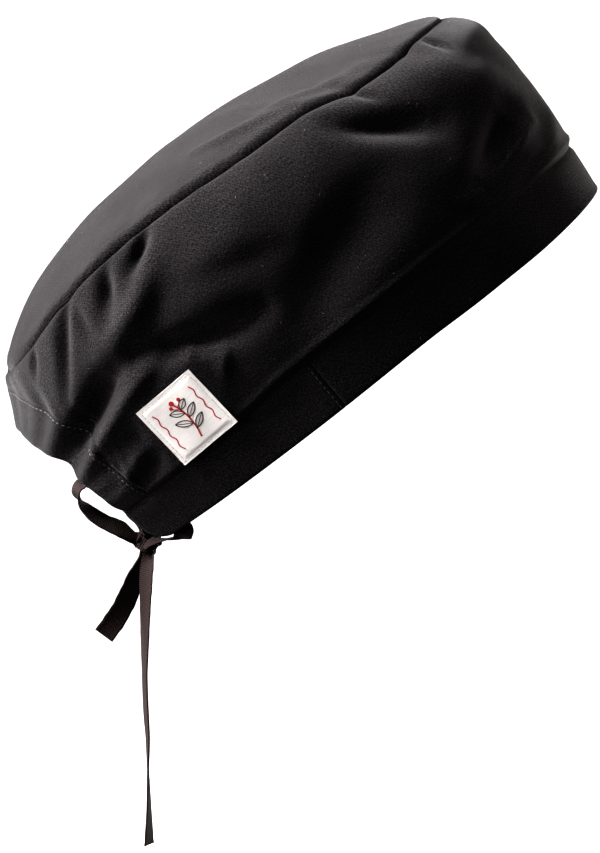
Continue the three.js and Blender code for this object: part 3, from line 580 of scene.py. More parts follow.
def fold_lift(fold, around, up):
    """How far one fold lifts the cloth at places that are shares round and up, in millimetres."""
    _, rounds, ups, wide, deep, _ = fold
    scale = math.pi * (HALF_LENGTH + HALF_WIDTH) / 2 / SIDE_HEIGHT
    nearest = np.full(np.shape(around), np.inf)
    place = np.zeros(np.shape(around))
    for t in np.linspace(0, 1, 25):
        shares = ((1 - t) * (1 - 2 * t), 4 * t * (1 - t), t * (2 * t - 1))
        away = np.hypot((dot(shares, rounds) - around) * scale, dot(shares, ups) - up)
        place = np.where(away < nearest, t, place)
        nearest = np.minimum(nearest, away)
    along_it = 0.35 + 0.65 * np.sin(math.pi * place)
    return deep * SIDE_HEIGHT * np.exp(-((nearest / wide) ** 2)) * along_it


def panel_lift(folds, angle, height):
    """All the folds of a table together. On the left side each has only its own share."""
    around, up = np.abs(angle) / math.pi, height / SIDE_HEIGHT
    lift = np.zeros(np.shape(around))
    for fold in folds:
        lift = lift + np.where(angle < 0, 1, fold[5]) * fold_lift(fold, around, up)
    return lift


# %% Soft wrinkles of washed cloth
BROAD_WRINKLES = 0.32  # height in millimetres of waves that are some 34 mm long
FINE_WRINKLES = 0.07  # and of waves that are some 12 mm long


def wrinkles(points, size, seed):
    """Soft unevenness of a cloth that has been washed: a sum of waves that cross at many angles."""
    draw = np.random.default_rng(seed)
    total = 0
    for _ in range(14):
        direction = unit(draw.normal(size=3))
        wave = 2 * math.pi / (size * draw.uniform(0.7, 1.6))
        total = total + np.sin(dot(points, direction) * wave + draw.uniform(0, 2 * math.pi))
    return total / 14**0.5


def soft_lift(angle, height):
    """All that lifts and sinks the cloth away from the crown seam and the band."""
    base = side_point(angle, height)
    broad = BROAD_WRINKLES * wrinkles(base, size=34, seed=11)
    fine = FINE_WRINKLES * wrinkles(base, size=12, seed=12)
    return panel_lift(SIDE_FOLDS, angle, height) + broad + fine


# %% Puckers along the seams
def pucker(angle):
    """Where the crown is eased on to the side panel, the seam draws in at uneven steps."""
    around = angle / math.pi
    return 0.5 * np.sin(around * 61 + 1.3) + 0.35 * np.sin(around * 97 + 0.4) + 0.3 * np.sin(around * 151)


# Where the seam drops by a stitch or two: place round (negative on the right), depth, width
SEAM_NOTCHES = [
    (-0.264, 1.3, 0.012),
    (-0.169, 1.1, 0.01),
    (-0.79, 0.8, 0.016),
    (0.31, 1.0, 0.013),
    (0.7, 0.9, 0.015),
]


def notch(angle):
    around = angle / math.pi
    return sum(deep * np.exp(-(((around - place) / wide) ** 2)) for place, deep, wide in SEAM_NOTCHES)


def gather(place, sign):
    """The hem is a little gathered: place runs up its arch from 0 to 1."""
    return 0.6 * np.sin(place * 31 + sign) + 0.4 * np.sin(place * 53 + 2 * sign + 0.7)


# %% [markdown]
# ## The side panel
#
# Its lower edge runs along the band and then up beside the hem of the opening, and its upper edge
# is the crown seam. Columns of points join the two. Near each seam the cloth rolls inward, and past
# the seam it goes on for a few millimetres as seam allowance, so no light shows through a join.


# %% Columns of the side panel
def panel_columns(ahead, arch):
    foot, _ = arch_point(HEM_WIDTH, HEM_FOOT, 0)
    columns = []
    for j in range(ahead + arch + 1):
        t = (j - ahead) / arch
        if t <= 0:
            share = j / ahead
            height = float(band_edge(foot * share, "top"))
            columns.append((foot * share, height, math.pi * SEAM_SHARE_AHEAD * share, -1))
        else:
            low = arch_point(HEM_WIDTH, HEM_FOOT, t)
            columns.append((*low, math.pi * lerp(SEAM_SHARE_AHEAD, 1, t), t))
    half = np.array(columns)
    other = half[:0:-1] * [-1, 1, -1, 1]
    return np.concatenate([other, half[:-1]])


# %% The line of the crown seam
def seam_point(angle):
    """The sewing line of the crown, and the way that its groove opens."""
    height = seam_height(angle)
    outward = unit(side_normal(angle, height - SEAM_ROLL) + [0, 0, 1])
    depth = SEAM_DEPTH + 0.35 * pucker(angle)
    line = outline_point(angle, 1, height) - depth[..., None] * outward
    return line - notch(angle)[..., None] * np.array([0, 0, 1.0]), outward


# %% Rows that crowd together at the seams
EDGE_STEPS = np.array([0, 0.15, 0.35, 0.6, 1.0, 1.5, 2.2, 3.2])  # rows beside a seam, from it


def row_distances(length, middle):
    """Distances of the rows up the cloth, close together beside both seams."""
    squeeze = np.minimum(1, length / (5 * EDGE_STEPS[-1]))
    start = EDGE_STEPS[:, None] * squeeze
    between = np.linspace(0, 1, middle + 2)[1:-1, None]
    return np.concatenate([start, lerp(start[-1], length - start[-1], between), length - start[::-1]])


def warped(count, squeeze=0.08):
    """Shares from 0 to 1 that lie closer together at both ends."""
    t = np.linspace(0, 1, count)
    return t - squeeze * np.sin(2 * math.pi * t)


columns = panel_columns(ahead=170, arch=66)
low_angle, low_height, top_angle, arch_place = columns.T
print("The side panel has", len(columns), "columns")


# %% The side panel's points
BAND_RIDGE = 1.0  # the rolled edge that stands just above the band
SEAM_PUFF = 0.6  # how far the puckers below the crown seam stand out


def side_panel():
    high = seam_height(top_angle)
    length = np.linalg.norm(side_point(top_angle, high) - side_point(low_angle, low_height), axis=1)
    beside_band = 1 - np.clip(4 * arch_place, 0, 1)
    distance = row_distances(length, 52)
    share = distance / length
    angle = lerp(low_angle, top_angle, share)
    height = lerp(low_height, high, share)
    near_low = roll(distance, lerp(1.0, SEAM_ROLL, beside_band))
    near_high = roll(length - distance)
    free = (1 - beside_band * roll(distance, FOLD_FADE)) * (1 - roll(length - distance, FOLD_FADE))
    near = (1 - beside_band * roll(distance, 2)) * (1 - roll(length - distance, 1.2))
    base = side_point(angle, height)
    flat = free * under_label(base)
    above = dot(base - label_seat, label_out)
    gathers = np.where(arch_place < 0, 0, gather(arch_place, np.sign(low_angle)))
    lift = free * soft_lift(angle, height) + near * panel_lift(FINE_FOLDS, angle, height)
    lift = lift + RIPPLE * gathers * np.exp(-((distance / 13) ** 2))
    lift = lift + SEAM_PUFF * pucker(top_angle) * roll(length - distance, 8) * (1 - near_high)
    lift = lift + BAND_RIDGE * beside_band * np.exp(-(((distance - 2.8) / 1.6) ** 2))
    lift = (1 - flat) * lift - lerp(HEM_DIMPLE, BAND_TUCK, beside_band) * near_low * (1 - share)
    points = base + lift[..., None] * side_normal(angle, height) - (flat * above)[..., None] * label_out
    edge, outward = seam_point(top_angle)
    pull = edge - side_point(top_angle, high)
    crease = GROOVE_DEPTH * roll(length - distance, GROOVE_WIDTH)
    points = points + (near_high * share)[..., None] * pull - crease[..., None] * outward
    return points, on_cloth(angle, height), outward


# %% Seam allowances and the finished panel
def allowance(edge, towards, depths):
    """Rows of cloth that go on past a seam line."""
    return np.stack([edge + depth * towards for depth in depths])


def with_first_again(cloth, mirror=(1, 1)):
    """A wrapping grid's places, with its first column again at the end."""
    return np.concatenate([cloth, cloth[:, :1] * mirror], axis=1)


panel_points, panel_cloth, seam_outward = side_panel()
low_depths, top_depths = (2.2, 1.5, 0.8, 0.35), (0.5, 1.2, 2.5, 4, 5.5)
low_turn = allowance(panel_points[0], -side_normal(low_angle, low_height), low_depths)
top_turn = allowance(panel_points[-1] - [0, 0, PLY_GAP], -seam_outward, top_depths)
low_cloth = allowance(panel_cloth[0], np.array([0, -1.0]), low_depths)
top_cloth = allowance(panel_cloth[-1], np.array([0, 1.0]), top_depths)
panel = shell(
    "side_panel_cloth",
    np.concatenate([low_turn, panel_points, top_turn]),
    PLY,
    wraps=True,
    cloth=with_first_again(np.concatenate([low_cloth, panel_cloth, top_cloth]), (-1, 1)),
)
print("The side panel has", len(panel.data.polygons), "faces")

# %% [markdown]
# ## The crown
#
# An oval piece with a low dome. It is cut a little larger than the opening that it closes, so it
# puffs up above the seam and has soft ridges of its own. It could be a flattened half sphere, but
# that wouldn't meet the side panel. Here rings of points shrink from the seam line to the middle, so
# the edge is the side panel's own edge, and a table of ridges works as the folds do.

# %% The crown's ridges
CROWN_RIDGES = [
    ("long_ridge", (0.3, 0.42, 0.52), (0.94, 0.8, 0.68), 0.045, 0.02, 0.5),
    ("front_roll", (0.2, 0.28, 0.36), (0.9, 0.86, 0.8), 0.04, 0.018, 0.6),
    ("rear_hollow", (0.62, 0.7, 0.78), (0.86, 0.72, 0.6), 0.12, -0.016, 0.8),
    ("middle_hollow", (0.35, 0.5, 0.62), (0.55, 0.45, 0.5), 0.2, -0.012, 0.9),
]


# %% The crown's dome
CROWN_WRINKLES = 0.35
CROWN_PUFF = 0.5  # how far the puckers above the crown seam stand out
CROWN_ROLL = 0.45  # the rolled edge that stands just above the seam


def crown():
    power = lerp(CROWN_POWER_BACK, CROWN_POWER_FRONT, (1 + np.cos(top_angle)) / 2)
    rim_edge = outline_point(top_angle, 1, seam_height(top_angle))
    reach = np.hypot(rim_edge[:, 0], rim_edge[:, 1])
    inner = lerp(EDGE_STEPS[-1], 0.97 * reach, np.linspace(0, 1, 37)[1:, None])
    away = np.concatenate([EDGE_STEPS[:, None] + 0 * reach, inner])
    rings = 1 - away / reach
    base = rim_edge * rings[..., None]
    base[..., 2] = rim_edge[:, 2] + (CROWN_TOP - rim_edge[:, 2]) * (1 - rings**power)
    edge, outward = seam_point(top_angle)
    ridges = 0
    for ridge in CROWN_RIDGES:
        share = np.where(top_angle < 0, 1, ridge[5])
        ridges = ridges + share * fold_lift(ridge, np.abs(top_angle) / math.pi, rings)
    fade = (1 - roll(away, FOLD_FADE)) * smooth_step(rings, 0.03, 0.35)
    lift = fade * (ridges + CROWN_WRINKLES * wrinkles(base, size=40, seed=23))
    lift = lift + CROWN_PUFF * pucker(top_angle) * roll(away, 9) * (1 - roll(away))
    lift = lift + CROWN_ROLL * np.exp(-(((away - 2.6) / 1.6) ** 2))
    out = unit(outward + 2 * np.array([0, 0, 1]) * (1 - rings)[..., None])
    crease = GROOVE_DEPTH * roll(away, GROOVE_WIDTH)
    points = base + lift[..., None] * out - crease[..., None] * outward
    points = points + roll(away)[..., None] * (edge - rim_edge)
    depths = (5.5, 4, 2.5, 1.2, 0.5)
    turned_in = allowance(points[0], -outward, depths)
    flat = allowance(rim_edge[:, :2], unit(rim_edge[:, :2]), depths)
    return np.concatenate([turned_in, points]), np.concatenate([flat, base[..., :2]])


crown_points, crown_flat = crown()
peak = np.array([0.0, 0, CROWN_TOP])
crown_map = with_first_again(crown_flat)
crown_cloth = shell("crown_cloth", crown_points, PLY, wraps=True, peak=peak, cloth=crown_map)
print("The crown has", len(crown_cloth.data.polygons), "faces")

# %% [markdown]
# ## The hem of the opening and the band
#
# Both are folded strips: one ply turned over on itself. The hem's fold is the edge of the opening,
# and the band's fold is the rim. A solid strip would look right from outside, but the inside of the
# cap is open to view, so one ply is swept round the fold, from the inner face to the outer. The hem
# is a casing for a cord and is a little gathered, and the band is joined from three stretches.


# %% Folded strips
def fold_section(width, depth, rows):
    """Distances from the fold and depths below the outer face, from inside round to outside."""
    turn = np.linspace(math.pi, 0, 7)[1:-1]
    flat = depth / 2 + (width - depth / 2) * warped(rows)
    inner = [(distance, depth) for distance in flat[::-1]]
    bend = [(depth / 2 * (1 - math.sin(a)), depth / 2 * (1 - math.cos(a))) for a in turn]
    return inner + bend + [(distance, 0.0) for distance in flat]


# %% The hem
FOLD_DEPTH = 2.0  # millimetres from the outer face of a folded strip to its inner one
hem_places = warped(150, 0.1)


def hem_line(distance, under, sign):
    """One line along the hem, at a distance from its fold: points, outward ways and cloth places."""
    spots = np.array([arch_point(distance, HEM_FOOT, t) for t in hem_places])
    angle, height = sign * spots[:, 0], spots[:, 1]
    stitched = HEM_DIMPLE * roll(HEM_WIDTH - distance, 1.0)
    ripple = RIPPLE * gather(hem_places, sign) * (1 - 0.5 * roll(distance, 3))
    free = 1 - roll(height - HEM_FOOT, FOLD_FADE)
    folds = free * (soft_lift(angle, height) + panel_lift(FINE_FOLDS, angle, height))
    lift = ripple + folds - stitched - BAND_TUCK * roll(height - HEM_FOOT) - under
    out = side_normal(angle, height)
    return side_point(angle, height) + out * lift[:, None], out, on_cloth(angle, height)


def hem():
    rows, cloth = [], []
    for distance, under in fold_section(HEM_WIDTH - 0.02, FOLD_DEPTH, 12):
        left, _, flat_left = hem_line(distance, under, 1)
        right, _, flat_right = hem_line(distance, under, -1)
        rows.append(np.concatenate([left, right[::-1][1:]]))
        cloth.append(np.concatenate([flat_left, (flat_right + [2 * girth_at[-1], 0])[::-1][1:]]))
    return np.stack(rows), np.stack(cloth)


hem_points, hem_flat = hem()
hem_cloth = shell("nape_hem_cloth", hem_points, PLY, cloth=hem_flat)
print("The hem has", len(hem_cloth.data.polygons), "faces")


# %% The band
BAND_WRINKLES = 0.22
END_SINK = 0.6  # how far a stretch of the band sinks at its very ends


def band_line(angle, height, under):
    """A line on the band, from angles and heights that may both be lists, and its ways outward."""
    angle, height = np.broadcast_arrays(np.asarray(angle, float), np.asarray(height, float))
    top, place, out = band_edge(angle, "top"), side_point(angle, height), side_normal(angle, height)
    soft = BAND_WRINKLES * wrinkles(place, size=30, seed=31) * smooth_step(top - height, 0, 6)
    sunk = np.maximum(BAND_INSET, BAND_TUCK * roll(top - height)) + under
    return place + out * (soft - sunk)[:, None], out


def band(name, angles, corner=None):
    """A stretch of the band between two angles, with one end rounded at the corner if it is given."""
    height_of_corner = np.zeros(len(angles))
    if corner is not None:
        reach = np.linalg.norm(side_point(angles, BAND_HEIGHT / 2) - corner, axis=1)
        across = np.clip(CORNER_RADIUS - reach, 0, CORNER_RADIUS)
        height_of_corner = CORNER_RADIUS - np.sqrt(CORNER_RADIUS**2 - across**2)
    low, top = band_edge(angles, "rim") + height_of_corner, band_edge(angles, "top")
    ends = np.minimum(np.abs(angles - angles[0]), np.abs(angles - angles[-1])) * HALF_WIDTH
    rows, cloth = [], []
    for distance, under in fold_section(BAND_HEIGHT, FOLD_DEPTH, 12):
        height = lerp(low, top, distance / BAND_HEIGHT)
        rows.append(band_line(angles, height, under + END_SINK * roll(ends, 0.5))[0])
        cloth.append(on_cloth(angles, height))
    return shell(name, np.stack(rows), PLY, cloth=np.stack(cloth))


join_angle = angle_ahead(-BAND_JOIN_BEHIND, BAND_HEIGHT / 2)
end_angle = angle_from_nape(OPENING_HALF_WIDTH, HEM_FOOT)
join_gap = 0.01 / HALF_WIDTH
front = (join_angle - join_gap) * (2 * warped(280, 0.12) - 1)
band_front = band("band_front_cloth", front)
rear = lerp(join_angle + join_gap, end_angle, warped(90, 0.13))
corner_at = side_point(end_angle, BAND_HEIGHT / 2)
band_left = band("band_rear_left_cloth", rear, corner_at)
band_right = band("band_rear_right_cloth", -rear[::-1], corner_at * [1, -1, 1])
print("The band's rear pieces end", round(OPENING_HALF_WIDTH * 2), "mm apart along the cloth")

# %% [markdown]
# ## The label
#
# A square of white woven satin, sewn on by a line of small stitches just inside its edge. A flat
# square would do from afar. A grid of points lets it puff up a little inside the line of stitches,
# and one function gives any place on it, so stitches and woven figures lie on it exactly.


# %% The label's cloth
LABEL_SEAM = 1.3  # from the label's edge to its stitches
LABEL_LIFT = 0.34  # from the panel's outer face to the label's
LABEL_PUFF = 0.16  # how far it puffs up inside its stitches
LABEL_WAVE = 0.1
LABEL_DENT = 0.08  # how deep the stitches draw it in
LABEL_PLY = 0.22


def label_point(x, y, above=0.0):
    """A place on the label, in millimetres along and up from its middle."""
    half = LABEL_SIDE / 2
    edge = half - np.maximum(np.abs(x), np.abs(y))
    seam = np.exp(-(((edge - LABEL_SEAM) / 0.45) ** 2))
    waves = LABEL_WAVE * np.sin(x / half * 4 + 1) * np.cos(y / half * 3)
    puffed = LABEL_PUFF * smooth_step(edge, 1.2, 3) + waves
    lift = LABEL_LIFT + puffed - LABEL_DENT * seam + above
    flat = label_seat + np.multiply.outer(x, label_along) + np.multiply.outer(y, label_rise)
    return flat + lift[..., None] * label_out


def label_grid(count=57):
    across = np.linspace(-LABEL_SIDE / 2, LABEL_SIDE / 2, count)
    return label_point(*np.meshgrid(across, across))


label_cloth = shell("label_cloth", label_grid(), LABEL_PLY)
print("The label is", LABEL_SIDE, "mm square")


# %% [markdown]
# ## Finishes
#
# A finish is built from waves and noise, not from pictures, so it stays sharp at any distance. Each
# one reads the piece's own UV map, in real millimetres, so the weave turns with the cloth and has
# the right scale.


# %% Small helpers for node trees
def add(tree, kind, values=None, **settings):
    """A node with its settings, its inputs set to values or linked to other nodes' outputs."""
    node = tree.nodes.new(kind)
    for key, value in settings.items():
        setattr(node, key, value)
    for key, value in (values or {}).items():
        if isinstance(value, bpy.types.NodeSocket):
            tree.links.new(value, node.inputs[key])
        else:
            node.inputs[key].default_value = value
    return node


def maths(tree, operation, *values):
    return add(tree, "ShaderNodeMath", dict(enumerate(values)), operation=operation).outputs[0]


def new_finish(name, roughness, sheen=0.0, sheen_roughness=0.5):
    material = bpy.data.materials.new(name)
    material.use_nodes = True
    tree = material.node_tree
    shader = tree.nodes["Principled BSDF"]
    shader.inputs["Roughness"].default_value = roughness
    shader.inputs["Sheen Weight"].default_value = sheen
    shader.inputs["Sheen Roughness"].default_value = sheen_roughness
    return material, tree, shader


def wave(tree, uv, turn, pitch):
    """Waves across the cloth at an angle, with a pitch in millimetres. One unit of UV is 100 mm."""
    step = 2 * math.pi * 100 / pitch
    direction = (math.cos(turn) * step, math.sin(turn) * step, 0)
    phase = add(tree, "ShaderNodeVectorMath", {0: uv, 1: direction}, operation="DOT_PRODUCT")
    return phase.outputs["Value"]


def cloth_map(tree):
    return add(tree, "ShaderNodeUVMap", uv_map="cloth").outputs[0]


def grain(tree, uv, scale, detail=2.0, stretch=(1, 1, 1)):
    placed = add(tree, "ShaderNodeMapping", {"Vector": uv, "Scale": stretch}).outputs[0]
    values = {"Vector": placed, "Scale": scale, "Detail": detail}
    return add(tree, "ShaderNodeTexNoise", values).outputs["Fac"]


def blend_colours(tree, amount, dark, light):
    """A mix of two colours, which are the inputs 6 and 7 of the node."""
    ramp = add(tree, "ShaderNodeMix", {0: amount, 6: (*dark, 1), 7: (*light, 1)}, data_type="RGBA")
    return ramp.outputs[2]


def coloured(tree, shader, colour, height, strength, distance):
    """Give a shader its colour, and a bump from the heights of the weave."""
    tree.links.new(colour, shader.inputs["Base Color"])
    values = {"Strength": strength, "Distance": distance, "Height": height}
    tree.links.new(add(tree, "ShaderNodeBump", values).outputs[0], shader.inputs["Normal"])


# %% [markdown]
# ### Black twill
#
# Black cloth isn't flat black. Two sets of waves make the diagonal ribs and the yarns, fine noise
# makes them uneven, and broad noise gives the faint patches of washed cloth. The same pattern drives
# both colour and bump. The shader's own shine is turned far down, because dull cotton has hardly
# any, and a little sheen stands for the loose fibres that catch light from the side.

# %% Black twill
RIB_PITCH = 0.55  # millimetres from one diagonal rib to the next
YARN_PITCH = 0.34
RIB_TURN = math.radians(61)


def twill_finish():
    material, tree, shader = new_finish("black_twill", 0.85, sheen=0.12, sheen_roughness=0.45)
    shader.inputs["Specular IOR Level"].default_value = 0.06
    uv = cloth_map(tree)
    rib = maths(tree, "SINE", wave(tree, uv, RIB_TURN, RIB_PITCH))
    yarn = maths(tree, "SINE", wave(tree, uv, 0.0, YARN_PITCH))
    weave = maths(tree, "MULTIPLY_ADD", rib, 0.22, maths(tree, "MULTIPLY", yarn, 0.1))
    slub = grain(tree, uv, 190, 3.0, (1, 0.6, 1))
    broad = grain(tree, uv, 4.5, 3.0)
    height = maths(tree, "MULTIPLY_ADD", maths(tree, "SUBTRACT", slub, 0.5), 2.4, weave)
    tone = maths(tree, "MULTIPLY_ADD", maths(tree, "SUBTRACT", broad, 0.5), 0.4, 0.28)
    tone = maths(tree, "MULTIPLY_ADD", height, 1.0, tone)
    clamped = add(tree, "ShaderNodeClamp", {0: tone}).outputs[0]
    colour = blend_colours(tree, clamped, (0.0015, 0.0012, 0.0014), (0.034, 0.031, 0.0335))
    coloured(tree, shader, colour, height, strength=0.8, distance=0.00018)
    return material


twill = twill_finish()
for piece in (panel, crown_cloth, hem_cloth, band_front, band_left, band_right):
    piece.data.materials.append(twill)


# %% [markdown]
# ### Woven tape
#
# Tape has ribs straight across it and a brown cast where its dye has faded.


# %% Woven tape
def tape_finish():
    material, tree, shader = new_finish("black_tape", 0.7, sheen=0.05, sheen_roughness=0.4)
    shader.inputs["Specular IOR Level"].default_value = 0.12
    uv = cloth_map(tree)
    cross = maths(tree, "SINE", wave(tree, uv, math.pi / 2, 0.8))
    warp = maths(tree, "SINE", wave(tree, uv, 0.0, 0.5))
    height = maths(tree, "MULTIPLY_ADD", cross, 0.35, maths(tree, "MULTIPLY_ADD", warp, 0.2, 0.5))
    fuzz = grain(tree, uv, 160, 2.0)
    tone = maths(tree, "MULTIPLY_ADD", height, 0.5, maths(tree, "MULTIPLY", fuzz, 0.5))
    clamped = add(tree, "ShaderNodeClamp", {0: tone}).outputs[0]
    colour = blend_colours(tree, clamped, (0.006, 0.0034, 0.0034), (0.03, 0.019, 0.0188))
    coloured(tree, shader, colour, height, strength=0.5, distance=0.0002)
    return material


tape_black = tape_finish()
for piece in (tape_right, tape_left):
    piece.data.materials.append(tape_black)


# %% [markdown]
# ### White satin
#
# Satin floats its threads in one direction, so its gloss lies in long streaks. Here the streaks
# are painted sheen: noise that is stretched along the thread lightens the colour in long streaks,
# and fine lines give the threads.


# %% White satin
def satin_finish():
    material, tree, shader = new_finish("white_satin", 0.42, sheen=0.2)
    uv = cloth_map(tree)
    lines = maths(tree, "SINE", wave(tree, uv, math.pi / 2, 0.35))
    # painted sheen: long streaks of lighter colour that stand for the satin's gloss
    sheen = grain(tree, uv, 60, 2.0, (0.2, 3, 1))
    tone = maths(tree, "MULTIPLY_ADD", lines, 0.15, sheen)
    clamped = add(tree, "ShaderNodeClamp", {0: tone}).outputs[0]
    colour = blend_colours(tree, clamped, (0.54, 0.515, 0.51), (0.72, 0.705, 0.7))
    coloured(tree, shader, colour, lines, strength=0.3, distance=0.0001)
    return material


label_cloth.data.materials.append(satin_finish())

# %% [markdown]
# ## The knot
#
# In a half bow one tape is wound round the other and pulled tight. What shows is a small bundle with
# two turns of creased tape over it. A rounded core fills the bundle, and the same tape helper winds
# two turns round it, which cross at an angle. Core and turns are joined in one mesh, because the
# model has one knot.


# %% The knot's core
KNOT_HALF = np.array([0.0037, 0.0036, 0.0037])  # half its size along X, Y and Z, in metres
KNOT_SQUARE = 0.85  # 1 would make it an ellipsoid, and less makes it squarer


def knot_core():
    turns, rings = 32, 16
    up, around = np.meshgrid(np.linspace(0, math.pi, rings + 1), np.arange(turns) / turns * 2 * math.pi)
    ball = np.stack([np.sin(up) * np.cos(around), np.sin(up) * np.sin(around), np.cos(up)], axis=-1)
    ball = np.sign(ball) * np.abs(ball) ** KNOT_SQUARE
    middle = (KNOT_PLACE + ball[:, 1:-1] * KNOT_HALF).transpose(1, 0, 2).reshape(-1, 3)
    ends = [KNOT_PLACE + [0, 0, KNOT_HALF[2]], KNOT_PLACE - [0, 0, KNOT_HALF[2]]]
    top, low = len(middle), len(middle) + 1
    faces = []
    for j in range(turns):
        k = (j + 1) % turns
        faces.append((top, j, k))
        for i in range(rings - 2):
            faces.append((i * turns + j, (i + 1) * turns + j, (i + 1) * turns + k, i * turns + k))
        faces.append((low, (rings - 2) * turns + k, (rings - 2) * turns + j))
    corners = [[(v % turns / turns * 0.3, v // turns / rings * 0.15) for v in face] for face in faces]
    return solid_from("bow_knot_tape", np.concatenate([middle, ends]), faces, corners)


# %% Turns of tape round the core
def wrap_rows(axis, radius, shift, start, turns=1.12, gathered=0.6):
    """Rows of a route that winds round an axis, moving along it a little."""
    axis = unit(np.array(axis, float))
    side = unit(np.cross(axis, [0.3, 1, 0.2]))
    front = np.cross(axis, side)
    rows = []
    for t in np.linspace(0, 1, 15):
        a = start + 2 * math.pi * turns * t
        wavy = radius * (1 + 0.05 * math.sin(3 * a + start))
        place = wavy * (math.cos(a) * side + math.sin(a) * front) + shift * (2 * t - 1) * axis
        lean = axis + 0.15 * math.sin(2 * a) * side
        rows.append((*place, *lean, gathered))
    return rows


def joined(pieces):
    """Several mesh objects made one, which keeps the first one's name."""
    settings = {"active_object": pieces[0], "selected_editable_objects": pieces}
    with bpy.context.temp_override(**settings):
        bpy.ops.object.join()
    return pieces[0]


over_rows = wrap_rows((0.5, -0.25, 0.85), 0.0042, 0.0006, 0.4, gathered=0.62)
under_rows = wrap_rows((-0.75, 0.25, 0.6), 0.0037, 0.0008, 2.2, gathered=0.55)
wrap_over, _, _ = tape("wrap_over", over_rows, 8, seed=8)
wrap_under, _, _ = tape("wrap_under", under_rows, 8, seed=9)
for piece in (wrap_over, wrap_under):
    piece.data.materials.append(tape_black)
knot_piece = knot_core()
knot_piece.data.materials.append(tape_black)
knot_piece = joined([knot_piece, wrap_over, wrap_under])
print("The knot has", len(knot_piece.data.polygons), "faces")

# %% [markdown]
# ## Stitches
#
# A seam is one short thread after another at an even step, so Geometry Nodes make it: a line of bare
# edges becomes a curve, the curve is cut into steps, and on each step lies one small rounded thread
# that points along the seam and sits flat on the cloth. The same tree makes every seam of the cap,
# with other sizes. The result is turned into a plain mesh before the piece is handed on.


# %% A tree of stitches
def new_tree(name, sizes, **others):
    """A tree without nodes yet, with inputs for sizes in metres and others of a given kind."""
    tree = bpy.data.node_groups.new(name, "GeometryNodeTree")
    socket = tree.interface.new_socket
    socket("Geometry", in_out="INPUT", socket_type="NodeSocketGeometry")
    for label, size in sizes.items():
        socket(label, in_out="INPUT", socket_type="NodeSocketFloat").default_value = size
    for label, kind in others.items():
        socket(label, in_out="INPUT", socket_type="NodeSocket" + kind)
    socket("Geometry", in_out="OUTPUT", socket_type="NodeSocketGeometry")
    return tree, tree.nodes.new("NodeGroupInput").outputs


def stitch_tree():
    sizes = {"Step": 0.0022, "Length": 0.0016, "Width": 0.0004, "Height": 0.0002}
    tree, given = new_tree("stitches", sizes, Thread="Material")
    seam = add(tree, "GeometryNodeMeshToCurve", {"Mesh": given["Geometry"]}).outputs[0]
    steps = add(tree, "GeometryNodeResampleCurve", {"Curve": seam, "Length": given["Step"]}, mode="LENGTH")
    ball = add(tree, "GeometryNodeMeshUVSphere", {"Segments": 6, "Rings": 4, "Radius": 0.5}).outputs["Mesh"]
    size = add(tree, "ShaderNodeCombineXYZ", {0: given["Height"], 1: given["Width"], 2: given["Length"]})
    thread = add(tree, "GeometryNodeTransform", {"Geometry": ball, "Scale": size.outputs[0]}).outputs[0]
    tangent = add(tree, "GeometryNodeInputTangent").outputs[0]
    ahead = add(tree, "FunctionNodeAlignRotationToVector", {"Vector": tangent}, axis="Z").outputs[0]
    out = add(tree, "GeometryNodeInputNamedAttribute", {"Name": "out"}, data_type="FLOAT_VECTOR")
    values = {"Rotation": ahead, "Vector": out.outputs[0]}
    settled = add(tree, "FunctionNodeAlignRotationToVector", values, axis="X", pivot_axis="Z").outputs[0]
    uneven = add(tree, "FunctionNodeRandomValue", {"Min": 0.85, "Max": 1.1, "Seed": 7}, data_type="FLOAT")
    scale = [socket for socket in uneven.outputs if socket.enabled][0]
    values = {"Points": steps.outputs[0], "Instance": thread, "Rotation": settled, "Scale": scale}
    laid = add(tree, "GeometryNodeInstanceOnPoints", values).outputs[0]
    real = add(tree, "GeometryNodeRealizeInstances", {0: laid}).outputs[0]
    smooth = add(tree, "GeometryNodeSetShadeSmooth", {"Geometry": real}).outputs[0]
    values = {"Geometry": smooth, "Material": given["Thread"]}
    done = add(tree, "GeometryNodeSetMaterial", values).outputs[0]
    tree.links.new(done, tree.nodes.new("NodeGroupOutput").inputs[0])
    return tree


# %% From a tree to a plain mesh
def grown(name, base, tree, **values):
    """What a tree makes of a base mesh, as a plain mesh object with the tree's sizes set by name."""
    carrier = bpy.data.objects.new(name + "_base", base)
    bpy.context.scene.collection.objects.link(carrier)
    modifier = carrier.modifiers.new("grow", "NODES")
    modifier.node_group = tree
    for item in tree.interface.items_tree:
        if item.in_out == "INPUT" and item.name in values:
            modifier[item.identifier] = values[item.name]
    seen = carrier.evaluated_get(bpy.context.evaluated_depsgraph_get())
    mesh = bpy.data.meshes.new_from_object(seen)
    mesh.name = name
    carrier.modifiers.clear()
    bpy.data.objects.remove(carrier)
    piece = bpy.data.objects.new(name, mesh)
    bpy.context.scene.collection.objects.link(piece)
    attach(piece, "root")
    print(name, "has", len(mesh.polygons), "faces")
    return piece


def edge_lines(name, lines):
    """A mesh of bare edges through lines of points, which keeps each point's way outward."""
    mesh = bpy.data.meshes.new(name)
    points = to_row(np.concatenate([line for line, _ in lines]))
    outs = unit(to_row(np.concatenate([out for _, out in lines])))
    edges, first = [], 0
    for line, _ in lines:
        edges += [(first + i, first + i + 1) for i in range(len(line) - 1)]
        first += len(line)
    mesh.from_pydata(points.tolist(), edges, [])
    mesh.attributes.new("out", "FLOAT_VECTOR", "POINT").data.foreach_set("vector", outs.ravel())
    return mesh


# %% Thread finishes
def thread_finish(name, dark, light):
    material, tree, shader = new_finish(name, 0.6, sheen=0.15)
    place = add(tree, "ShaderNodeTexCoord").outputs["Object"]
    tone = grain(tree, place, 2200, 2.0)
    colour = blend_colours(tree, tone, dark, light)
    coloured(tree, shader, colour, tone, strength=0.4, distance=0.00005)
    return material


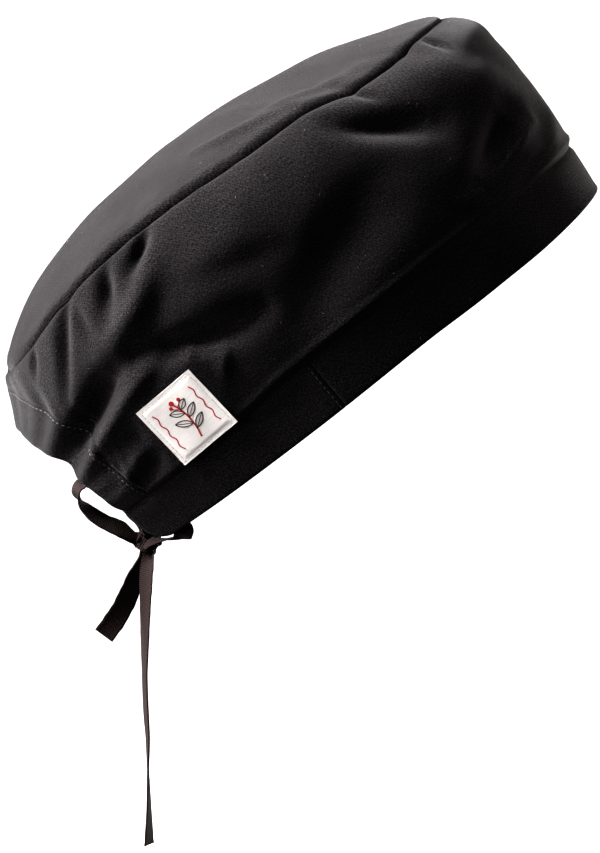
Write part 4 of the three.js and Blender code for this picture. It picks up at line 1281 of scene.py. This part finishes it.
black_thread = thread_finish("black_thread", (0.02, 0.019, 0.02), (0.1, 0.095, 0.1))
white_thread = thread_finish("white_thread", (0.36, 0.34, 0.33), (0.6, 0.58, 0.57))
red_thread = thread_finish("red_thread", (0.24, 0.004, 0.006), (0.42, 0.014, 0.016))
grey_thread = thread_finish("grey_thread", (0.008, 0.007, 0.007), (0.03, 0.027, 0.027))

# %% Seams of the hem and the band
stitches = stitch_tree()


def lifted(line, out, above):
    return line + above * out, out


casing = [lifted(*hem_line(HEM_WIDTH - 1.1, 0, sign)[:2], 0.02) for sign in (1, -1)]
casing_inside = [lifted(*hem_line(HEM_WIDTH - 1.1, FOLD_DEPTH, sign)[:2], -0.02) for sign in (1, -1)]


up_the_join = np.linspace(1.2, BAND_HEIGHT - 1.5, 30)
join_seams = [band_line(side * (join_angle + 1.6 / HALF_WIDTH), up_the_join, -0.05) for side in (1, -1)]
round_band = np.linspace(-end_angle, end_angle, 500) * 0.985
inside_seam = band_line(round_band, band_edge(round_band, "top") - 1.5, 2.05)
casing_size = {"Step": 0.0022, "Length": 0.0014, "Width": 0.00042, "Height": 0.0003}
casing_base = edge_lines("casing_line", casing + casing_inside)
casing_stitches = grown("casing_stitches", casing_base, stitches, Thread=black_thread, **casing_size)
band_size = {"Step": 0.002, "Length": 0.0013, "Width": 0.0003, "Height": 0.0002}
band_base = edge_lines("band_line", join_seams + [inside_seam])
band_stitches = grown("band_stitches", band_base, stitches, Thread=black_thread, **band_size)

# %% Stitches round the label
inset = LABEL_SIDE / 2 - LABEL_SEAM
corners_round = np.array([(-1, -1), (1, -1), (1, 1), (-1, 1), (-1, -1)]) * inset
sides = zip(corners_round, corners_round[1:])
border = np.concatenate([lerp(a, b, np.linspace(0, 1, 20)[:, None]) for a, b in sides])
border_line = label_point(border[:, 0], border[:, 1], 0.05)
label_size = {"Step": 0.00155, "Length": 0.0012, "Width": 0.00032, "Height": 0.0002}
label_base = edge_lines("label_line", [(border_line, np.tile(label_out, (len(border), 1)))])
label_stitches = grown("label_stitches", label_base, stitches, Thread=white_thread, **label_size)

# %% [markdown]
# ## The label's woven figures
#
# Small woven labels often have a figure in two colours. This one has a plain sprig in red and dark
# grey. It could be drawn in the satin's colour, but a woven figure stands up a little, so each line
# of it is a low ridge of thread that follows the label's surface.


# %% Ridges of thread on the label
RIDGE = 0.07  # heights above the satin in millimetres
DISC_EDGE = 0.1
DISC_TOP = 0.16
SUNK = 0.04  # and how deep each figure goes into it


def bend_through(a, b, c, count=14):
    """A bent line from a to c that passes through b."""
    t = np.linspace(0, 1, count)[:, None]
    a, b, c = (np.array(p, float) for p in (a, b, c))
    return a * (1 - t) * (1 - 2 * t) + b * 4 * t * (1 - t) + c * t * (2 * t - 1)


def woven_figures(name, lines, discs, finish):
    points, faces = [], []
    for line, width in lines:
        first, count = len(points), len(line)
        ahead = unit(np.gradient(line, axis=0))
        side = np.stack([-ahead[:, 1], ahead[:, 0]], axis=1) * width / 2
        near, far = line - side, line + side
        for edge, above in ((near, RIDGE), (far, RIDGE), (far, -SUNK), (near, -SUNK)):
            points += label_point(edge[:, 0], edge[:, 1], above).tolist()
        for i in range(count - 1):
            for j in range(4):
                k = (j + 1) % 4
                a, b = first + j * count + i, first + k * count + i
                faces.append((a, b, b + 1, a + 1))
        faces.append(tuple(first + j * count for j in (3, 2, 1, 0)))
        faces.append(tuple(first + j * count + count - 1 for j in (0, 1, 2, 3)))
    turn = np.arange(12) / 12 * 2 * math.pi
    for (x, y), radius in discs:
        first = len(points)
        for above in (DISC_EDGE, -SUNK):
            points += label_point(x + radius * np.cos(turn), y + radius * np.sin(turn), above).tolist()
        middle = (np.array(x), np.array(y))
        points += [label_point(*middle, above).tolist() for above in (DISC_TOP, -SUNK)]
        for j in range(12):
            k = (j + 1) % 12
            faces += [(first + j, first + k, first + 24), (first + 12 + k, first + 12 + j, first + 25)]
            faces.append((first + 12 + j, first + 12 + k, first + k, first + j))
    piece = solid_from(name, to_row(np.array(points)), faces)
    piece.data.materials.append(finish)
    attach(piece, "root")
    return piece


# %% A sprig of leaves and berries
stem = bend_through((-0.6, -8.4), (0.9, -0.6), (-0.4, 6.4), 30)
leaves, twigs, berries = [], [(stem, 0.6)], [((-0.6, 7.3), 0.95)]
for side, at, long in ((1, 6, 4.6), (-1, 10, 4.9), (1, 15, 4.4), (-1, 19, 4.1), (1, 23, 3.2)):
    root = stem[at]
    tip = root + [side * long * 1.15, long * 0.72]
    middle = (root + tip) / 2
    leaves += [(bend_through(root, middle + [-side * 0.6, 1.1], tip), 0.34)]
    leaves += [(bend_through(root, middle + [side * 0.6, -0.9], tip), 0.34)]
    leaves += [(bend_through(root, middle, tip), 0.24)]
for side, at in ((1, 26), (-1, 24)):
    tip = stem[at] + [side * 2.3, 1.9]
    twigs.append((bend_through(stem[at], (stem[at] + tip) / 2 + [side * 0.3, -0.2], tip), 0.3))
    berries.append((tuple(tip), 0.7))
for x in (-8.6, 8.6):
    height = np.linspace(-8.2, 8.2, 60)
    twigs.append((np.stack([x + 0.35 * np.sin(height * 1.3), height], axis=1), 0.42))
woven_figures("label_sprig_red", twigs, berries, red_thread)
woven_figures("label_sprig_grey", leaves, [], grey_thread)
print("The sprig has", len(leaves) // 3, "leaves and", len(berries), "berries")

# %% [markdown]
# ## Lint
#
# Black cloth gathers pale fibres. A few hundred short bent hairs are scattered over the panels with
# a fixed seed, each lying on the surface. They are tiny, but they give the eye the scale of the
# cloth.


# %% A tree of fibres
FULL_TURN = 6.283  # radians


def lint_tree():
    sizes = {"Density": 3000.0, "Length": 0.0005, "Thickness": 0.00003}
    tree, given = new_tree("lint", sizes, Seed="Int", Fibre="Material")
    values = {"Mesh": given["Geometry"], "Density": given["Density"], "Seed": given["Seed"]}
    spots = add(tree, "GeometryNodeDistributePointsOnFaces", values)
    bent = {"Start": (-0.5, 0, 0.06), "Middle": (0.05, 0.3, 0.2), "End": (0.5, 0.02, 0.08), "Resolution": 4}
    hair = add(tree, "GeometryNodeCurveQuadraticBezier", bent).outputs[0]
    sized = add(tree, "GeometryNodeTransform", {"Geometry": hair, "Scale": given["Length"]}).outputs[0]
    values = {"Resolution": 3, "Radius": given["Thickness"]}
    circle = add(tree, "GeometryNodeCurvePrimitiveCircle", values).outputs[0]
    values = {"Curve": sized, "Profile Curve": circle, "Fill Caps": True}
    fibre = add(tree, "GeometryNodeCurveToMesh", values).outputs[0]
    values = {"Max": FULL_TURN, "Seed": given["Seed"]}
    turn = add(tree, "FunctionNodeRandomValue", values, data_type="FLOAT")
    angle = [socket for socket in turn.outputs if socket.enabled][0]
    spin = add(tree, "FunctionNodeAxisAngleToRotation", {"Axis": (0, 0, 1), "Angle": angle}).outputs[0]
    values = {"Rotation": spots.outputs["Rotation"], "Rotate By": spin}
    facing = add(tree, "FunctionNodeRotateRotation", values, rotation_space="LOCAL").outputs[0]
    uneven = add(tree, "FunctionNodeRandomValue", {"Min": 0.5, "Max": 1.5, "Seed": 11}, data_type="FLOAT")
    scale = [socket for socket in uneven.outputs if socket.enabled][0]
    values = {"Points": spots.outputs["Points"], "Instance": fibre, "Rotation": facing, "Scale": scale}
    laid = add(tree, "GeometryNodeInstanceOnPoints", values).outputs[0]
    real = add(tree, "GeometryNodeRealizeInstances", {0: laid}).outputs[0]
    done = add(tree, "GeometryNodeSetMaterial", {"Geometry": real, "Material": given["Fibre"]}).outputs[0]
    tree.links.new(done, tree.nodes.new("NodeGroupOutput").inputs[0])
    return tree


# %% Lint on the panels
LINT_DENSITY = 4200.0  # fibres to a square metre

lint = lint_tree()
pale_fibre = thread_finish("pale_fibre", (0.12, 0.115, 0.12), (0.4, 0.39, 0.4))
linted = (("panel_lint", panel, 5), ("crown_lint", crown_cloth, 6), ("band_lint", band_front, 9))
for name, carrier, seed in linted:
    settings = {"Density": LINT_DENSITY, "Seed": seed, "Fibre": pale_fibre}
    fibres = grown(name, carrier.data.copy(), lint, **settings)

# %% [markdown]
# ## What each piece stands for
#
# The imported model is made of solids that physics can use. Each cloth piece here takes the place of
# the solid with the same job, so the frame hides that solid and keeps it for collision. A tape stands
# for all the solids along its length.


# %% Seat the pieces on the frame
def settle(piece, slot, *nodes):
    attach(piece, "root")
    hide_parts(*nodes)


settle(panel, "cap_cloth", "side_panel")
settle(crown_cloth, "cap_cloth", "crown")
settle(hem_cloth, "cap_cloth", "nape_hem")
settle(band_front, "cap_cloth", "band_front")
settle(band_left, "cap_cloth", "band_rear_left")
settle(band_right, "cap_cloth", "band_rear_right")
settle(label_cloth, "label_satin", "label")
settle(tape_right, "tie_tape", "tie_lead_right", "tie_tail_long")
settle(tape_left, "tie_tape", "tie_lead_left", "bow_loop", "tie_tail_short")
settle(knot_piece, "tie_tape", "bow_knot")

# %% [markdown]
# ## Light and floor
#
# Black cloth shows its folds only where light grazes it. One lamp stands high at the left, a little
# towards the camera, so each fold has a lit side and a dark side. A second one behind it lights the
# crown. Weak lamps keep the forehead, the nape and the far side from going quite black. The world
# is bright only high up behind the cap, while the camera sees it plain white. The floor disc fades
# out at its rim, so it has no horizon.


# %% Studio
def studio_world():
    world = bpy.data.worlds.new("studio")
    bpy.context.scene.world = world
    world.use_nodes = True
    tree = world.node_tree
    shown = tree.nodes["Background"]
    shown.inputs["Color"].default_value = (1, 1, 1, 1)
    lit = add(tree, "ShaderNodeBackground", {"Strength": 1.0})
    towards = add(tree, "ShaderNodeTexCoord").outputs["Generated"]
    behind = Vector((-0.6, 0.45, 0.65)).normalized()
    facing = add(tree, "ShaderNodeVectorMath", {0: towards, 1: behind}, operation="DOT_PRODUCT")
    values = {"Value": facing.outputs["Value"], "From Max": 0.8, "To Min": 0.008, "To Max": 0.5}
    level = add(tree, "ShaderNodeMapRange", values).outputs[0]
    tree.links.new(level, lit.inputs["Strength"])
    camera_ray = add(tree, "ShaderNodeLightPath").outputs["Is Camera Ray"]
    mixed = add(tree, "ShaderNodeMixShader", {0: camera_ray, 1: lit.outputs[0], 2: shown.outputs[0]})
    tree.links.new(mixed.outputs[0], tree.nodes["World Output"].inputs["Surface"])


def floor():
    bpy.ops.mesh.primitive_circle_add(vertices=96, radius=1.1, fill_type="NGON", location=(0, 0, -0.26))
    disc = bpy.context.object
    disc.name = "studio_floor"
    material, tree, shader = new_finish("pale_floor", 0.9)
    shader.inputs["Base Color"].default_value = (0.9, 0.9, 0.9, 1)
    place = add(tree, "ShaderNodeTexCoord").outputs["Object"]
    reach = add(tree, "ShaderNodeVectorMath", {0: place}, operation="LENGTH").outputs["Value"]
    values = {"Value": reach, "From Min": 0.15, "From Max": 0.8, "To Min": 1.0, "To Max": 0.0}
    fade = add(tree, "ShaderNodeMapRange", values).outputs[0]
    tree.links.new(fade, shader.inputs["Alpha"])
    disc.data.materials.append(material)
    disc.visible_diffuse = False
    disc.visible_glossy = False


def area_light(name, place, size, power, colour):
    """A round lamp of a size in metres and a power in watts, turned to the cap."""
    light = bpy.data.lights.new(name, "AREA")
    light.shape = "DISK"
    light.size, light.energy, light.color = size, power, colour
    lamp = bpy.data.objects.new(name, light)
    bpy.context.scene.collection.objects.link(lamp)
    lamp.location = place
    lamp.rotation_mode = "QUATERNION"
    lamp.rotation_quaternion = (Vector((-0.04, 0, 0)) - Vector(place)).to_track_quat("-Z", "Y")


studio_world()
floor()
area_light("key", (-1.0, -0.24, 0.68), 0.35, 52, (1, 0.985, 0.985))
area_light("top", (-0.85, 0.4, 0.8), 0.6, 26, (1, 0.985, 1))
area_light("front", (-0.25, -1.6, 0.35), 0.9, 5, (1, 0.99, 0.98))
area_light("side", (0.75, 0.15, 0.65), 0.4, 3.5, (1, 0.88, 0.82))
area_light("far", (0.9, 1.1, 0.1), 0.6, 16, (1, 0.96, 0.94))
area_light("low", (-1.15, -0.4, -0.1), 0.4, 8, (1, 0.93, 0.87))
bpy.context.scene.view_settings.view_transform = "Standard"
bpy.context.scene.view_settings.look = "High Contrast"
